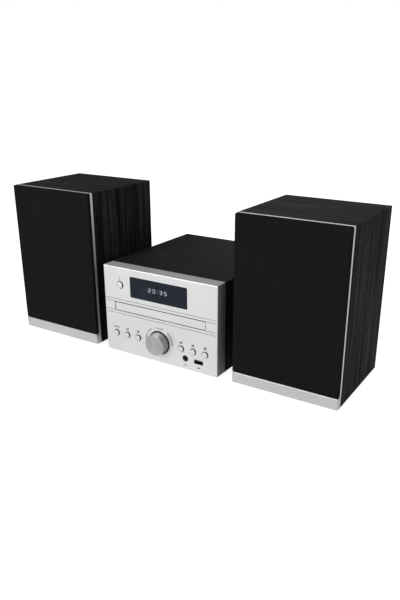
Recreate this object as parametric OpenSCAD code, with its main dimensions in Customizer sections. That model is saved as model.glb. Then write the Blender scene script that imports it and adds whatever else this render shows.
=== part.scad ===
// Compact stereo set: a receiver with a disc loader and two shelf speakers.
// Front faces -Y, +Z is up, and the set stands on the plane z = 0.

/* [Set] */
// Free space between the receiver and each speaker
speaker_gap = 21; // [10:1:80]
// How far the speakers stand behind the front of the receiver
speaker_setback = 0.8; // [0:0.1:10]
// Height of the rubber feet below the housings
foot_h = 3; // [2:0.5:8]
// Radius of the rubber feet
foot_r = 6; // [4:0.5:8]
// Distance of each foot's centre from the edges of its housing
foot_inset = 14; // [10:1:20]
// Space around a piece that is assembled into a cut-out
fit_gap = 0.2; // [0.1:0.05:0.4]
// Space between pieces that move past each other
run_gap = 0.35; // [0.3:0.05:0.5]
// Radial space between a turning pin and its bore
bore_gap = 0.05; // [0.02:0.01:0.08]

/* [Receiver case] */
// Width of the receiver
rec_w = 180; // [176:1:230]
// Height of the front panel
rec_h = 123; // [122:1:160]
// Depth from the front panel to the rear panel
rec_d = 204; // [200:1:260]
// Depth of the front panel's side walls
fascia_d = 19; // [18:0.5:24]
// Wall of the moulded front panel
fascia_wall = 2.5; // [2:0.1:3]
// Rounding of the front panel's outer edges
fascia_edge = 1.5; // [0.5:0.1:2]
// Steel sheet of the cover, chassis and rear panel
sheet_t = 1; // [0.8:0.1:1.5]
// Height of the chassis underside above the panel's lower edge
chassis_lift = 0.8; // [0:0.1:2]
// Height of the chassis side flanges
flange_h = 12; // [8:1:20]

/* [Display and power] */
// Width of the display window
window_w = 91; // [70:1:100]
// Height of the display window
window_h = 29; // [20:1:32]
// Height of the window's centre above the panel's lower edge
window_z = 98.3; // [98:0.1:101]
// Thickness of the display lens flange
lens_flange = 1.2; // [0.8:0.1:1.6]
// Diameter of the power button
power_d = 10.2; // [8:0.1:12]
// Sideways place of the power button
power_x = -62.3; // [-66:0.1:-58]

/* [Controls] */
// Diameter of a round control button
button_d = 8.8; // [7:0.1:10]
// Distance of the innermost buttons from the centre line
button_x = 35; // [30:0.5:38]
// Spacing of the buttons
button_pitch = 18.5; // [14:0.5:20]
// Height of the buttons above the panel's lower edge
button_z = 27.8; // [24:0.1:32]
// How far a button stands out of the panel
button_out = 1.8; // [1.2:0.1:3]
// Travel of a button
button_travel = 0.8; // [0.4:0.1:1]
// Diameter of the volume knob
knob_d = 30.6; // [24:0.2:36]
// Height of the knob's centre above the panel's lower edge
knob_z = 28.3; // [24:0.1:32]
// How far the knob stands out of the panel
knob_out = 12; // [8:0.5:20]
// Radius of the knob's shaft
knob_shaft_r = 3; // [2:0.1:4]
// Width of the dark ring around the knob
collar_w = 1; // [0.6:0.1:2]
// Sideways place of the headphone jack
jack_x = 41.4; // [36:0.1:46]
// Radius of the headphone jack's bore
jack_r = 1.8; // [1.5:0.05:2.5]
// Sideways place of the memory stick socket
usb_x = 62; // [58:0.1:68]
// Height of the jack and the socket above the panel's lower edge
socket_z = 15; // [13:0.1:16]
// Distance of the circuit boards behind the panel's front
board_y = 12; // [11:0.1:13]
// Thickness of the circuit boards
board_t = 1.6; // [1:0.1:2]

/* [Disc loader] */
// Width of the tray slot in the front panel
slot_w = 145.2; // [143:0.2:150]
// Height of the tray slot
slot_h = 12.9; // [12.5:0.1:13.5]
// Height of the slot's centre above the panel's lower edge
slot_z = 67.35; // [67:0.05:69]
// Gap around the tray door
door_gap = 0.5; // [0.3:0.1:0.8]
// Thickness of the tray door
door_t = 3; // [2:0.1:4]
// Width of the tray between its runners' outer faces
tray_w = 130; // [128:1:132]
// Radius of the recess for a full size disc
disc_r = 60.5; // [60:0.1:61]
// Radius of the recess for a small disc
small_disc_r = 40.5; // [40:0.1:41]
// Free depth behind the tray's runners, for the sockets of the rear panel
rear_space = 28; // [26:0.5:36]
// Tooth module of the loader gears
gear_m = 1; // [0.9:0.05:1.05]
// Teeth of the pinion that drives the tray's rack
rack_pinion_teeth = 14; // [12:2:14]
// Teeth of the wheel below that pinion
wheel_teeth = 32; // [28:1:32]
// Teeth of the pinion on the belt pulley
belt_pinion_teeth = 12; // [11:1:13]
// Width of the flank space between meshed teeth
gear_backlash = 0.3; // [0.2:0.05:0.4]
// Radius of the belt pulley's groove
pulley_r = 11.8; // [9:0.1:12]
// Radius of the motor pulley's groove
motor_pulley_r = 3; // [2.5:0.1:4]
// Radius of the gear pins
gear_pin_r = 1.5; // [1:0.1:2]
// Travel of the laser sled
sled_travel = 34; // [28:1:36]

/* [Rear connections] */
// Radius of a line-in socket's barrel
phono_r = 4.15; // [3.5:0.05:4.5]
// Radius of the aerial socket's barrel
aerial_r = 4.75; // [4:0.05:5]
// How far the barrels stand out of the rear panel
barrel_out = 8; // [7:0.5:12]
// Spacing of the speaker terminals
terminal_pitch = 12; // [11.6:0.1:14]
// Swing of a terminal lever in degrees
lever_swing = 18; // [10:1:20]

/* [Speaker] */
// Width of a speaker
spk_w = 139.5; // [134:0.5:180]
// Height of a speaker cabinet
spk_h = 214.4; // [210:0.1:300]
// Depth of a speaker
spk_d = 136.6; // [110:0.1:220]
// Thickness of the grille and of the band below it
grille_t = 5.2; // [5:0.1:8]
// Thickness of the silver front plate
plate_t = 3.9; // [3:0.1:6]
// Height of the silver band below the grille
band_h = 14.5; // [10:0.1:20]
// Thickness of the cabinet's boards
cabinet_wall = 9; // [6:0.5:12]
// Thickness of the grille cloth
cloth_t = 0.6; // [0.4:0.1:1]
// Radius of the woofer's mounting flange
woofer_r = 50; // [46:0.5:52]
// Height of the woofer's centre as a share of the cabinet's height
woofer_share = 0.364; // [0.34:0.001:0.37]
// Height of the tweeter's centre as a share of the cabinet's height
tweeter_share = 0.77; // [0.76:0.001:0.79]
// Radius of the tweeter's flange
tweeter_r = 26; // [22:0.5:28]
// Radius of the grille's pegs
peg_r = 2.4; // [2:0.1:3]
// Radius of the cord hole in the rear gland
gland_r = 2; // [1.5:0.1:2.5]

/* [Hidden] */
$fn = 64;
sides = ["left", "right"];
button_names = ["source_button", "play_button", "stop_button", "back_button", "next_button", "mode_button"];
lever_names = ["lever_1", "lever_2", "lever_3", "lever_4"];
speaker_pieces = ["cabinet", "front_frame", "grille_frame", "grille_cloth", "woofer_frame",
    "woofer_cone", "woofer_surround", "tweeter", "cable_gland", "feet"];

eps = 0.01;

// The set's middle between the knob's face and the ends of the rear barrels
origin_y = (rec_d + barrel_out - knob_out) / 2;

// Receiver heights
base_z = foot_h;
top_z = base_z + rec_h;
chassis_z = base_z + chassis_lift;
floor_z = chassis_z + sheet_t;

// Circuit boards and what stands on them
window_centre_z = base_z + window_z;
lens_back_y = fascia_wall + lens_flange;
glass_y = lens_back_y + run_gap;
board_back_y = board_y + board_t;
post_r = 3;
upper_board_x0 = -(rec_w / 2 - fascia_wall - 10);
upper_board_x1 = window_w / 2 + 10;
upper_board_h = window_h + 8;
lower_board_w = rec_w - 2 * fascia_wall - 12;
lower_board_z0 = base_z + fascia_wall + 1.5;
lower_board_z1 = base_z + 50;
switch_w = 6;
switch_h = 4;
plunger_r = 1.7;
plunger_h = 1;

// Buttons
button_xs = [for (k = [2, 1, 0]) -button_x - k * button_pitch,
    for (k = [0, 1, 2]) button_x + k * button_pitch];
button_centre_z = base_z + button_z;
button_flange_y = fascia_wall + run_gap;
button_flange_t = 1.2;
stem_r = 2;
stem_end_y = board_y - switch_h - plunger_h - button_travel - run_gap;

// Knob, its ring and the encoder that it turns
knob_r = knob_d / 2;
knob_centre_z = base_z + knob_z;
collar_in_r = knob_r + run_gap;
collar_out_r = collar_in_r + collar_w;
collar_flange_r = collar_out_r + 2;
collar_flange_t = 1;
knob_back_y = 1.2;
knob_skin = 2.2;
encoder_w = 12;
encoder_front_y = board_y - 6.5;
bushing_r = knob_shaft_r + 1.5;

// Sockets on the front
jack_centre_z = base_z + socket_z + 0.5;
usb_centre_z = base_z + socket_z - 0.2;
jack_nose_r = jack_r + 1.3;
jack_sink_r = jack_nose_r + 1.5;
jack_sink_d = 1.2;
jack_bore_y = fascia_wall + run_gap;
jack_w = 2 * jack_nose_r + 4;
jack_end_y = board_back_y + 3;
usb_w = 13.2;
usb_h = 5.6;
usb_wall = 0.4;
usb_tongue_t = 1.8;
usb_front_y = 0.8;
usb_end_y = board_back_y + 3;

// Tray heights, all within the slot of the front panel
slot_centre_z = base_z + slot_z;
door_y = 0.3;
tray_y = door_y + door_t;
tray_low_z = slot_centre_z - slot_h / 2 + 0.7;
deck_top_z = slot_centre_z + 3.5;
deck_t = 4;
deck_low_z = deck_top_z - deck_t;
disc_y = tray_y + 4 + disc_r;
deck_end_y = disc_y + disc_r + 8;
disc_depth = 2;
small_disc_depth = 0.9;
tray_hole_r = 18;
runner_t = 3;
tongue_w = 3;
tongue_h = 2;
tray_half = tray_w / 2;

// Gear train below the tray, with upright axes
pitch = PI * gear_m;
addendum = 0.8 * gear_m;
dedendum = 1.1 * gear_m;
pressure = 20;
rack_back = 2;
rack_lead = 6;
rack_pitch_x = -tray_half + runner_t + rack_back + dedendum;
rack_pinion_r = gear_m * rack_pinion_teeth / 2;
wheel_r = gear_m * wheel_teeth / 2;
belt_pinion_r = gear_m * belt_pinion_teeth / 2;
tray_gear_x = rack_pitch_x + rack_pinion_r;
tray_gear_y = fascia_d + 21;
runner_end_y = rec_d - rear_space;
tray_travel = runner_end_y - tray_gear_y - rack_lead;
mesh_turn = -20;
mesh_r = wheel_r + belt_pinion_r;
pulley_x = tray_gear_x + mesh_r * cos(mesh_turn);
pulley_y = tray_gear_y + mesh_r * sin(mesh_turn);
motor_x = 18;
motor_y = pulley_y;
motor_r = 10.5;
motor_shaft_r = 1;
spindle_r = 11;

// Loader frame, built up from its base plate
loader_t = 2;
loader_top_z = slot_centre_z - 20.35;
loader_low_z = loader_top_z - loader_t;
loader_y0 = fascia_d + 1;
loader_y1 = runner_end_y + 4;
loader_half = tray_half + tongue_w + 4;
rail_lip = 2.5;
rail_top_z = deck_top_z + 2;
leg_r = 4;
leg_xs = [-1, 1] * (loader_half - leg_r - 4);
leg_ys = [loader_y0 + 12, loader_y1 - 10];
wheel_z0 = loader_top_z + 1;
wheel_h = 3;
pulley_z0 = wheel_z0 + wheel_h + 1.5;
pulley_h = 5;
pulley_rim = 1;
pulley_rim_h = 1.2;
belt_gap = 0.1;
belt_t = 1.2;
belt_h = 2;
rack_tooth_z0 = tray_low_z + 0.4;
rack_tooth_z1 = deck_low_z - 0.5;
clamp_low_z = deck_top_z + 4.6;
bridge_z = clamp_low_z + 2.5;
bridge_t = 1.2;
puck_r = 10.5;
puck_lip = 2.5;

// Laser sled behind the turntable
table_z = loader_top_z + 10;
table_t = 2;
table_r = 14.5;
hub_r = 7.4;
hub_h = 4;
rod_x = 19;
rod_r = 1.5;
rod_z = loader_top_z + 6;
sled_half = rod_x + 5;
sled_y0 = disc_y + 20;
sled_len = 20;
rod_y0 = sled_y0 - 6;
rod_y1 = sled_y0 + sled_len + sled_travel + 6;
rod_block = 4;

// Main circuit board
main_z = floor_z + 6;
main_half = 58;
main_y0 = fascia_d + 27;
main_y1 = rec_d - 8;
main_top_z = main_z + board_t;

// Rear panel and its sockets
rear_y = rec_d - sheet_t;
aerial_x = -32;
phono_xs = [-8, 8];
rear_socket_z = main_top_z + 18;
barrel_bore_r = 1.6;
barrel_bore_y = rec_d + fit_gap;
inlet_x = -66;
inlet_z = floor_z + 26;
inlet_w = 24;
inlet_h = 16;
pin_spacing = 8.6;
terminal_x = 45;
terminal_z = floor_z + 62;
terminal_h = 27;
terminal_w = 4 * terminal_pitch;
lip = 2;
bay_w = terminal_pitch - 2.6;
lever_w = bay_w - 2 * run_gap;
lever_pin_r = 1.2;
lever_h = 10;
lever_t = 2.5;
lever_y = rec_d - 0.8;
lever_tip_y = rec_d + 4.5;
lever_xs = [for (k = [0:3]) terminal_x + (k - 1.5) * terminal_pitch];

// Speaker layers from the front, and the drivers behind the plate
plate_y = grille_t;
cabinet_y = grille_t + plate_t;
grille_low_z = base_z + band_h + run_gap;
grille_high_z = base_z + spk_h;
grille_h = grille_high_z - grille_low_z;
grille_mid_z = (grille_high_z + grille_low_z) / 2;
grille_back_y = grille_t - run_gap;
grille_rim = 9;
grille_rib = 4;
grille_edge = 2;
peg_len = 5;
socket_wall = 2.6;
peg_xs = [-1, 1] * (spk_w / 2 - cabinet_wall - peg_r - socket_wall - 2);
peg_zs = [base_z + band_h + 17, base_z + spk_h - 17];
woofer_centre_z = base_z + spk_h * woofer_share;
tweeter_centre_z = base_z + spk_h * tweeter_share;
woofer_open_r = woofer_r - 6;
cone_r = woofer_r - 13.5;
coil_r = 13;
cone_y = cabinet_y + 5;
neck_y = cabinet_y + 24;
magnet_y = cabinet_y + 33;
magnet_t = 16;
magnet_r = 30;
cone_skin = 0.8;
surround_skin = 0.7;
seat_r = woofer_open_r - 1;
gland_z = base_z + 40;

speaker_x = rec_w / 2 + speaker_gap + spk_w / 2;

function side_sign(s) = s == "left" ? -1 : 1;

// Solid between two corners
module block(low, high) {
    translate(low) cube(high - low);
}

// Outline drawn in X and Z, extruded along +Y
module extrude_y(y0, y1) {
    translate([0, y1, 0]) rotate([90, 0, 0]) linear_extrude(y1 - y0) children();
}

// Outline drawn in Y and Z, extruded along +X
module extrude_x(x0, x1) {
    translate([x0, 0, 0]) rotate([90, 0, 90]) linear_extrude(x1 - x0) children();
}

// Cylinder along +Y
module rod_y(x, z, r, y0, y1) {
    translate([x, y0, z]) rotate([-90, 0, 0]) cylinder(r = r, h = y1 - y0);
}

// Cylinder along +Z
module rod_z(x, y, r, z0, z1) {
    translate([x, y, z0]) cylinder(r = r, h = z1 - z0);
}

// Profile of radius and Y, turned about an axis along Y
module turned_y(x, z) {
    translate([x, 0, z]) rotate([-90, 0, 0]) rotate_extrude() children();
}

// Rectangle about the origin with round corners
module round_rect(w, h, r) {
    square([w - 2 * r, h], center = true);
    square([w, h - 2 * r], center = true);
    for (sx = [-1, 1], sz = [-1, 1])
        translate([sx * (w / 2 - r), sz * (h / 2 - r)]) circle(r);
}

// Rectangle from the origin whose two corners on the left are round
module round_front(d, h, r) {
    translate([r, 0]) square([d - r, h]);
    translate([0, r]) square([d, h - 2 * r]);
    for (v = [r, h - r]) translate([r, v]) circle(r);
}

// Block with rounded edges towards -Y
module soft_front(w, d, h, r) {
    intersection() {
        extrude_y(0, d) translate([0, h / 2]) round_rect(w, h, r);
        extrude_x(-w / 2, w / 2) round_front(d, h, r);
        translate([-w / 2, 0, 0]) linear_extrude(h)
            translate([w, 0]) rotate(90) round_front(d, w, r);
    }
}

// Involute of a circle, as the angle between the radius and the start
function involute_angle(base_r, r) = r <= base_r ? 0
    : let (a = acos(base_r / r)) tan(a) * 180 / PI - a;

// Half angle of a tooth at a radius
function tooth_half(teeth, r) = let (pr = gear_m * teeth / 2, base_r = pr * cos(pressure))
    90 / teeth - gear_backlash / 4 / pr * 180 / PI
    + involute_angle(base_r, pr) - involute_angle(base_r, r);

// Gear outline with a tooth on the angle turn
function gear_points(teeth, turn) = let (pr = gear_m * teeth / 2,
    rs = [pr - dedendum, pr - 0.4 * addendum, pr, pr + addendum / 2, pr + addendum],
    rim = concat([for (r = rs) [r, -tooth_half(teeth, r)]],
        [for (k = [len(rs) - 1:-1:0]) [rs[k], tooth_half(teeth, rs[k])]]))
    [for (i = [0:teeth - 1]) for (p = rim)
        let (a = turn + i * 360 / teeth + p[1]) p[0] * [cos(a), sin(a)]];

// Case of the receiver

module bottom_chassis() {
    w = rec_w - 2 * sheet_t - 2 * fit_gap;
    color("dimgray") {
        difference() {
            block([-w / 2, fascia_d, chassis_z], [w / 2, rear_y, chassis_z + flange_h]);
            block([-w / 2 + sheet_t, fascia_d + sheet_t, floor_z],
                [w / 2 - sheet_t, rear_y + eps, top_z]);
            for (k = [-5:5])
                extrude_floor_slot(k * 9, main_y0 + 40);
        }
        for (x = [-1, 1] * (main_half - 5), y = [main_y0 + 5, main_y1 - 5])
            rod_z(x, y, post_r, floor_z, main_z);
    }
}

// Long air slot through the floor, with round ends
module extrude_floor_slot(x, y) {
    slot_r = 1.5;
    slot_l = 40;
    translate([x, y, chassis_z - eps]) linear_extrude(sheet_t + 2 * eps) {
        square([2 * slot_r, slot_l], center = true);
        for (v = [-1, 1] * slot_l / 2) translate([0, v]) circle(slot_r);
    }
}

module top_cover() {
    side_vents = [0:7];
    color("#222222") difference() {
        block([-rec_w / 2, fascia_d, chassis_z], [rec_w / 2, rec_d, top_z]);
        block([-rec_w / 2 + sheet_t, fascia_d - eps, chassis_z - eps],
            [rec_w / 2 - sheet_t, rec_d + eps, top_z - sheet_t]);
        for (k = side_vents)
            extrude_x(-rec_w / 2 - eps, rec_w / 2 + eps)
                translate([rec_d - 30 - k * 7, base_z + rec_h * 0.3]) vent_outline(18);
    }
}

// Narrow upright slot with round ends
module vent_outline(h) {
    r = 1.25;
    square([2 * r, h], center = true);
    for (v = [-1, 1] * h / 2) translate([0, v]) circle(r);
}

module rear_panel() {
    w = rec_w - 2 * sheet_t - 2 * fit_gap;
    color("#2b2b2b") difference() {
        block([-w / 2, rear_y, chassis_z], [w / 2, rec_d, top_z - sheet_t - fit_gap]);
        for (k = [-8:8], z = [top_z - 16, top_z - 34])
            extrude_y(rear_y - eps, rec_d + eps) translate([k * 8, z]) vent_outline(12);
        for (x = phono_xs) rod_y(x, rear_socket_z, phono_r + fit_gap, rear_y - eps, rec_d + eps);
        rod_y(aerial_x, rear_socket_z, aerial_r + fit_gap, rear_y - eps, rec_d + eps);
        panel_window(inlet_x, inlet_z, inlet_w, inlet_h);
        panel_window(terminal_x, terminal_z, terminal_w, terminal_h);
    }
}

// Cut-out of the rear panel for a body of this size
module panel_window(x, z, w, h) {
    extrude_y(rear_y - eps, rec_d + eps) translate([x, z])
        square([w + 2 * fit_gap, h + 2 * fit_gap], center = true);
}

module receiver_feet() {
    color("#181818") for (x = [-1, 1] * (rec_w / 2 - foot_inset),
            y = [fascia_d + foot_inset, rec_d - foot_inset])
        rubber_foot(x, y, chassis_z);
}

// Round foot that narrows towards the floor
module rubber_foot(x, y, h) {
    taper = 0.8;
    translate([x, y, 0]) rotate_extrude()
        polygon([[0, 0], [foot_r - taper, 0], [foot_r, taper], [foot_r, h], [0, h]]);
}

// Front panel with its cut-outs, rim lines and board posts
module front_fascia() {
    color("silver") {
        difference() {
            translate([0, 0, base_z]) soft_front(rec_w, fascia_d, rec_h, fascia_edge);
            block([-rec_w / 2 + fascia_wall, fascia_wall, base_z + fascia_wall],
                [rec_w / 2 - fascia_wall, fascia_d + eps, top_z - fascia_wall]);
            front_hole() translate([0, window_centre_z]) round_rect(window_w, window_h, 1.8);
            front_hole() translate([0, slot_centre_z]) round_rect(slot_w, slot_h, 0.8);
            for (x = button_xs) rod_y(x, button_centre_z, button_d / 2 + run_gap, -eps, fascia_wall + eps);
            rod_y(power_x, window_centre_z, power_d / 2 + run_gap, -eps, fascia_wall + eps);
            rod_y(0, knob_centre_z, collar_out_r + fit_gap / 4, -eps, fascia_wall + eps);
            turned_y(jack_x, jack_centre_z) polygon([[0, -eps], [jack_sink_r, -eps],
                [jack_nose_r + fit_gap, jack_sink_d], [jack_nose_r + fit_gap, fascia_wall + eps],
                [0, fascia_wall + eps]]);
            front_hole() translate([usb_x, usb_centre_z])
                square([usb_w + 2 * fit_gap, usb_h + 2 * fit_gap], center = true);
            rim_lines();
        }
        for (x = [upper_board_x0 + post_r, upper_board_x1 - post_r],
                z = [-1, 1] * (upper_board_h / 2 - post_r))
            rod_y(x, window_centre_z + z, post_r, fascia_wall - eps, board_y);
        for (x = [-1, 1] * (lower_board_w / 2 - post_r),
                z = [lower_board_z0 + post_r, lower_board_z1 - post_r])
            rod_y(x, z, post_r, fascia_wall - eps, board_y);
    }
}

// Cut through the front wall
module front_hole() {
    extrude_y(-eps, fascia_wall + eps) children();
}

// Fine lines above and below the tray slot, the inner pair only beside it
module rim_lines() {
    line_w = 0.6;
    line_d = 0.45;
    outer_gap = 3.7;
    line_end = rec_w / 2 - 2;
    for (s = [-1, 1]) {
        translate([0, -eps, slot_centre_z + s * (slot_h / 2 + outer_gap)])
            translate([-line_end, 0, -line_w / 2]) cube([2 * line_end, line_d, line_w]);
        for (t = [-1, 1])
            translate([t > 0 ? slot_w / 2 : -line_end, -eps, slot_centre_z + s * (slot_h / 2 - line_w / 2)])
                translate([0, 0, -line_w / 2]) cube([line_end - slot_w / 2, line_d, line_w]);
    }
}

module knob_collar() {
    lead = 0.3;
    color("#111111") turned_y(0, knob_centre_z) polygon([[collar_in_r, -lead], [collar_out_r, -lead],
        [collar_out_r, fascia_wall], [collar_flange_r, fascia_wall],
        [collar_flange_r, fascia_wall + collar_flange_t], [collar_in_r, fascia_wall + collar_flange_t]]);
}

module display_lens() {
    recess = 0.3;
    rim = 2.5;
    color("#10151f") translate([0, 0, window_centre_z]) {
        extrude_y(recess, fascia_wall + eps)
            round_rect(window_w - 2 * fit_gap, window_h - 2 * fit_gap, 1.6);
        extrude_y(fascia_wall, lens_back_y) round_rect(window_w + 2 * rim, window_h + 2 * rim, 2);
    }
}

// Display glass on the upper board, with the switch of the power button
module display_module() {
    glass_w = window_w - 6;
    glass_h = window_h - 4;
    color("#1d2a22") {
        block([upper_board_x0, board_y, window_centre_z - upper_board_h / 2],
            [upper_board_x1, board_back_y, window_centre_z + upper_board_h / 2]);
        block([-glass_w / 2, glass_y, window_centre_z - glass_h / 2],
            [glass_w / 2, board_y + eps, window_centre_z + glass_h / 2]);
        push_switch(power_x, window_centre_z);
    }
}

// Small push switch soldered to the front of a board
module push_switch(x, z) {
    translate([x - switch_w / 2, board_y - switch_h, z - switch_w / 2])
        cube([switch_w, switch_h + eps, switch_w]);
    rod_y(x, z, plunger_r, board_y - switch_h - plunger_h, board_y - switch_h + eps);
}

// Lower board with six switches and the encoder that the knob turns
module control_board() {
    color("#1d3a28") difference() {
        union() {
            block([-lower_board_w / 2, board_y, lower_board_z0],
                [lower_board_w / 2, board_back_y, lower_board_z1]);
            for (x = button_xs) push_switch(x, button_centre_z);
            block([-encoder_w / 2, encoder_front_y, knob_centre_z - encoder_w / 2],
                [encoder_w / 2, board_y + eps, knob_centre_z + encoder_w / 2]);
            rod_y(0, knob_centre_z, bushing_r, 0, encoder_front_y + eps);
        }
        rod_y(0, knob_centre_z, knob_shaft_r + bore_gap, -eps, board_y);
        translate([jack_x, 0, jack_centre_z]) board_notch(jack_w, jack_w);
        translate([usb_x, 0, usb_centre_z]) board_notch(usb_w, usb_h);
    }
}

// Opening of the lower board for a socket of this size
module board_notch(w, h) {
    extrude_y(board_y - eps, board_back_y + eps)
        square([w + 2 * fit_gap, h + 2 * fit_gap], center = true);
}

module headphone_jack() {
    color("#151515") difference() {
        union() {
            rod_y(jack_x, jack_centre_z, jack_nose_r, jack_sink_d, fascia_wall + run_gap + eps);
            translate([jack_x, 0, jack_centre_z])
                extrude_y(fascia_wall + run_gap, jack_end_y) round_rect(jack_w, jack_w, 1);
        }
        turned_y(jack_x, jack_centre_z) polygon([[0, jack_sink_d - eps], [jack_r + 0.7, jack_sink_d - eps],
            [jack_r, jack_bore_y], [jack_r, jack_end_y - 1], [0, jack_end_y - 1]]);
    }
}

// Steel shell with a plastic tongue inside
module usb_socket() {
    color("#8a8a8a") translate([usb_x, 0, usb_centre_z]) {
        difference() {
            extrude_y(usb_front_y, usb_end_y) round_rect(usb_w, usb_h, 0.5);
            extrude_y(usb_front_y - eps, usb_end_y - usb_wall)
                square([usb_w - 2 * usb_wall, usb_h - 2 * usb_wall], center = true);
        }
        extrude_y(usb_front_y + 1, usb_end_y - usb_wall + eps)
            translate([-usb_w / 2 + 1, 0]) square([usb_w - 2, usb_tongue_t]);
    }
}

// Main board with transformer, heat sink, capacitors and chips
module main_board() {
    part_low = main_top_z - eps;
    transformer = [42, 36, 26];
    sink_x0 = 2;
    sink_x1 = main_half - 4;
    sink_y = main_y1 - 26;
    fin_pitch = 6;
    color("#2a5a36") {
        difference() {
            block([-main_half, main_y0, main_z], [main_half, main_y1, main_top_z]);
            for (x = [-1, 1] * (main_half - 5), y = [main_y0 + 5, main_y1 - 5])
                rod_z(x, y, 1.5, main_z - eps, main_top_z + eps);
        }
        translate([-main_half + 6, main_y1 - 74, part_low]) cube(transformer);
        translate([-main_half + 2, main_y1 - 68, part_low]) cube([transformer[0] + 8, 24, 18]);
        block([sink_x0, sink_y, part_low], [sink_x1, sink_y + 3, main_top_z + 28]);
        for (x = [sink_x0:fin_pitch:sink_x1 - 1.5])
            block([x, sink_y - 9, part_low], [x + 1.5, sink_y + eps, main_top_z + 28]);
        for (x = [12, 28, 44]) rod_z(x, main_y1 - 58, 6, part_low, main_top_z + 22);
        for (x = [-36, -8, 22]) block([x, main_y0 + 22, part_low], [x + 16, main_y0 + 36, main_top_z + 2]);
        for (x = [-44:11:44]) rod_z(x, main_y0 + 12, 3, part_low, main_top_z + 8);
    }
}

// Loader

// Side wall profile of the loader, with the groove for the tray's tongue
module rail_outline() {
    groove_h = tongue_h + 2 * run_gap;
    groove_x = tray_half + tongue_w + run_gap;
    lip_x = tray_half + run_gap;
    difference() {
        union() {
            translate([groove_x + 1.2, loader_low_z])
                square([loader_half - groove_x - 1.2, rail_top_z - loader_low_z]);
            translate([lip_x, slot_centre_z - groove_h / 2 - rail_lip])
                square([loader_half - lip_x, groove_h + 2 * rail_lip]);
        }
        translate([lip_x - eps, slot_centre_z - groove_h / 2]) square([groove_x - lip_x + eps, groove_h]);
    }
}

module loader_frame() {
    color("#3a3a3a") {
        for (s = [0, 1]) mirror([s, 0, 0]) extrude_y(loader_y0, loader_y1) rail_outline();
        difference() {
            block([-loader_half, loader_y0, loader_low_z], [loader_half, loader_y1, loader_top_z]);
            rod_z(motor_x, motor_y, 4, loader_low_z - eps, loader_top_z + eps);
            translate([0, (rod_y0 + rod_y1) / 2, loader_low_z - eps]) linear_extrude(loader_t + 2 * eps)
                round_rect(2 * rod_x - 10, rod_y1 - rod_y0 - 8, 3);
        }
        for (x = leg_xs, y = leg_ys) rod_z(x, y, leg_r, floor_z, loader_low_z + eps);
        rod_z(tray_gear_x, tray_gear_y, gear_pin_r, loader_top_z - eps, rack_tooth_z1);
        rod_z(tray_gear_x, tray_gear_y, gear_pin_r + 2, loader_top_z - eps, wheel_z0 - run_gap);
        rod_z(pulley_x, pulley_y, gear_pin_r, loader_top_z - eps, pulley_z0 + pulley_h);
        rod_z(pulley_x, pulley_y, gear_pin_r + 2, loader_top_z - eps, wheel_z0 - run_gap);
        for (x = [-1, 1] * rod_x) {
            rod_y(x, rod_z, rod_r, rod_y0, rod_y1);
            for (y = [rod_y0, rod_y1 - rod_block])
                block([x - 3, y, loader_top_z - eps], [x + 3, y + rod_block, rod_z + 3]);
        }
    }
}

module clamp_bridge() {
    half_l = 14;
    leg = 3;
    color("#8c9096") {
        difference() {
            block([-loader_half, disc_y - half_l, bridge_z], [loader_half, disc_y + half_l, bridge_z + bridge_t]);
            rod_z(0, disc_y, puck_r + run_gap, bridge_z - eps, bridge_z + bridge_t + eps);
        }
        for (x = [-loader_half, loader_half - leg])
            block([x, disc_y - half_l, rail_top_z], [x + leg, disc_y + half_l, bridge_z + eps]);
    }
}

module clamp_puck() {
    low = bridge_z + bridge_t + run_gap;
    color("#d8d8d8") translate([0, disc_y, 0]) rotate_extrude() polygon([[hub_r + 0.6, clamp_low_z],
        [puck_r, clamp_low_z], [puck_r, low], [puck_r + puck_lip, low], [puck_r + puck_lip, low + 1.5],
        [0, low + 1.5], [0, clamp_low_z + 3], [hub_r + 0.6, clamp_low_z + 3]]);
}

// Motor can below the loader's base plate
module loading_motor() {
    can_h = 20;
    color("#9a9ea3") translate([motor_x, motor_y, 0]) rotate_extrude() polygon([
        [motor_shaft_r + bore_gap, loader_low_z - can_h + 3], [motor_shaft_r + bore_gap, loader_low_z + 1],
        [3, loader_low_z + 1], [3, loader_low_z], [motor_r, loader_low_z], [motor_r, loader_low_z - can_h],
        [0, loader_low_z - can_h], [0, loader_low_z - can_h + 3]]);
}

// Grooved rim of a belt pulley
function pulley_profile(groove_r, bore_r) = let (r = groove_r + pulley_rim,
    z0 = pulley_z0, z1 = pulley_z0 + pulley_h)
    [[bore_r, z0], [r, z0], [r, z0 + pulley_rim_h], [groove_r, z0 + pulley_rim_h],
     [groove_r, z1 - pulley_rim_h], [r, z1 - pulley_rim_h], [r, z1], [bore_r, z1]];

module motor_pulley() {
    color("#e0d9c4") translate([motor_x, motor_y, 0]) {
        rotate_extrude() polygon(pulley_profile(motor_pulley_r, 0));
        cylinder_between(motor_shaft_r, loader_low_z - 14, pulley_z0 + eps);
    }
}

module cylinder_between(r, z0, z1) {
    translate([0, 0, z0]) cylinder(r = r, h = z1 - z0);
}

module pulley_gear() {
    bore_r = gear_pin_r + bore_gap;
    color("#e8e2d0") translate([pulley_x, pulley_y, 0]) {
        rotate_extrude() polygon(pulley_profile(pulley_r, bore_r));
        difference() {
            translate([0, 0, wheel_z0]) linear_extrude(pulley_z0 - wheel_z0 + eps)
                polygon(gear_points(belt_pinion_teeth, 180 + mesh_turn + 180 / belt_pinion_teeth));
            cylinder_between(bore_r, wheel_z0 - eps, pulley_z0 + 2 * eps);
        }
    }
}

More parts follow.
